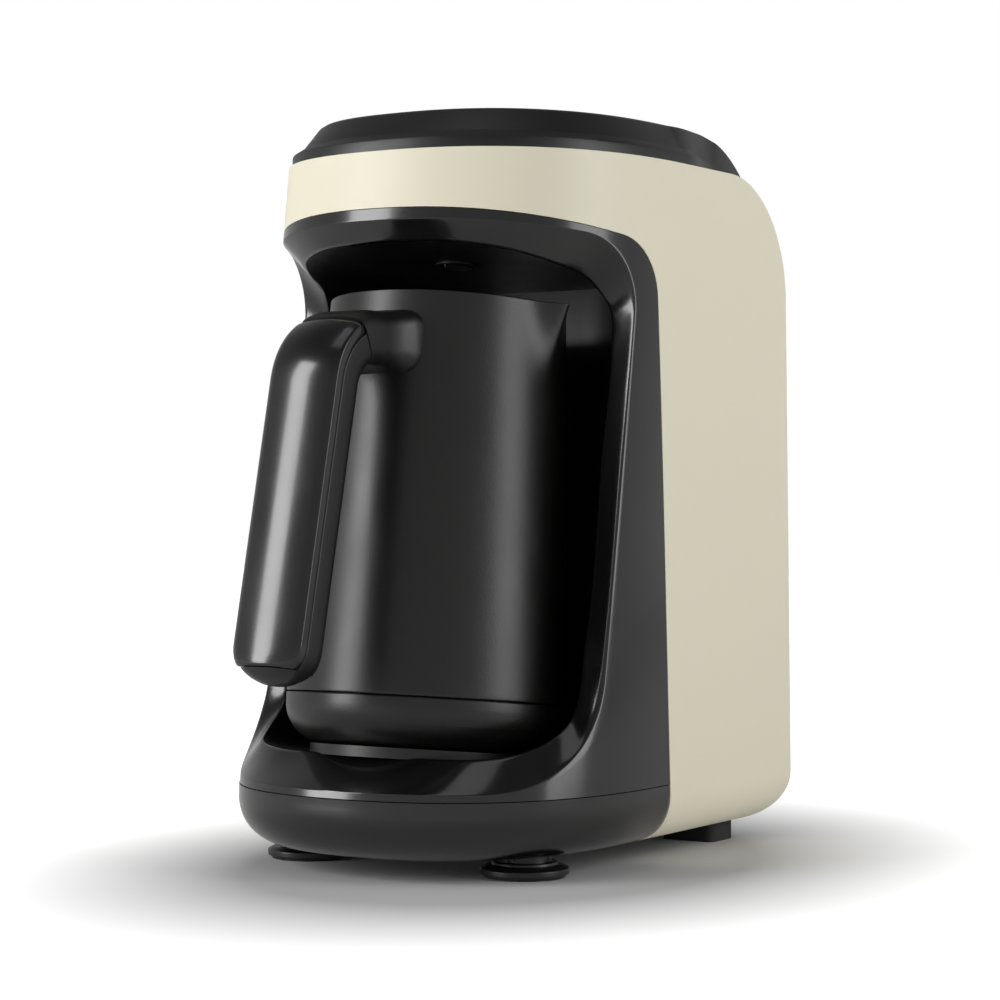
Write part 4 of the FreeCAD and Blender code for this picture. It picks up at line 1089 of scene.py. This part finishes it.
# Painted shadow: the floor's glow is nothing near the foot, so the floor stays dark there.
glow_outside_painted_shadow = add_node(tree, "Math", "Value", {0: lit, 1: reach}, operation="MULTIPLY")
lift = add_node(tree, "Emission", "Emission", {"Color": grey(1.0), "Strength": glow_outside_painted_shadow})
together = add_node(tree, "AddShader", "Shader", {0: matte, 1: lift})
add_node(tree, "OutputMaterial", None, {"Surface": together})
floor_mesh.materials.append(floor_look)
print("white from %.1f footprints" % SHADE_END)

# %% World
HORIZON, ZENITH = (0.0, grey(0.68)), (0.85, grey(0.12))
world = bpy.data.worlds.new("studio")
bpy.context.scene.world = world
world.use_nodes = True
tree = world.node_tree
tree.nodes.clear()
direction = add_node(tree, "TexCoord", "Generated", {})
height = add_node(tree, "SeparateXYZ", "Z", {"Vector": direction})
shade = add_node(tree, "ValToRGB", "Color", {"Fac": height})
for stop, (share, colour) in zip(shade.node.color_ramp.elements, [HORIZON, ZENITH]):
    stop.position = share
    stop.color = colour
room = add_node(tree, "Background", "Background", {"Color": shade})
white = add_node(tree, "Background", "Background", {"Color": grey(1.0)})
rays = add_node(tree, "LightPath", None, {})
seen_room = add_node(tree, "MixShader", "Shader", {"Fac": rays["Is Camera Ray"], 1: room, 2: white})
add_node(tree, "OutputWorld", None, {"Surface": seen_room})
print("room light: %.2f low, %.2f high" % (HORIZON[1][0], ZENITH[1][0]))

# %% [markdown]
# Dark gloss shows what is around it, so the light is three large soft boxes: a tall bright one to
# the left front for the long highlights, a wide one to the right for the cream side, and a dim
# overhead one. Point lamps would leave small hard spots on the same mouldings.

# %% Soft boxes
AIM = np.array([0.0, 0.0, 0.13])


def soft_box(name, azimuth, distance, height, width, tall, power):
    """A rectangular lamp at a compass angle from the front, turned to face the machine."""
    turn = math.radians(azimuth)
    spot = np.array([distance * math.sin(turn), -distance * math.cos(turn), height])
    lamp = bpy.data.lights.new(name, "AREA")
    lamp.shape = "RECTANGLE"
    lamp.size = width
    lamp.size_y = tall
    lamp.energy = power
    box = bpy.data.objects.new(name, lamp)
    bpy.context.scene.collection.objects.link(box)
    way = AIM - spot
    box.location = spot
    tilt = math.atan2(math.hypot(way[0], way[1]), -way[2])
    box.rotation_euler = (tilt, 0.0, math.atan2(-way[0], way[1]))
    print("%-12s %.1f W per square metre" % (name, power / (width * tall)))


soft_box("left_strip", -36.0, 1.4, 0.45, 0.40, 1.3, 15.0)
soft_box("right_box", 100.0, 1.5, 0.45, 0.6, 1.3, 9.5)
soft_box("overhead", 0.0, 0.3, 1.5, 0.8, 0.8, 1.8)

# %% [markdown]
# The view comes from the right front, at about half the machine's height, with a long lens. A
# shorter lens from nearer would make the handle too large against the housing.

# %% Camera
camera_data = bpy.data.cameras.new("view")
camera_data.lens = 95.2
camera_data.sensor_width = 36.0
camera_data.shift_y = -0.0064
camera = bpy.data.objects.new("view", camera_data)
camera.location = (0.53218, -0.80154, 0.132)
camera.rotation_euler = (math.radians(90.0), 0.0, math.radians(32.726))
bpy.context.scene.collection.objects.link(camera)
bpy.context.scene.camera = camera
bpy.context.scene.view_settings.view_transform = "Standard"
print("camera %.2f m from the middle" % math.hypot(*camera.location[:2]))
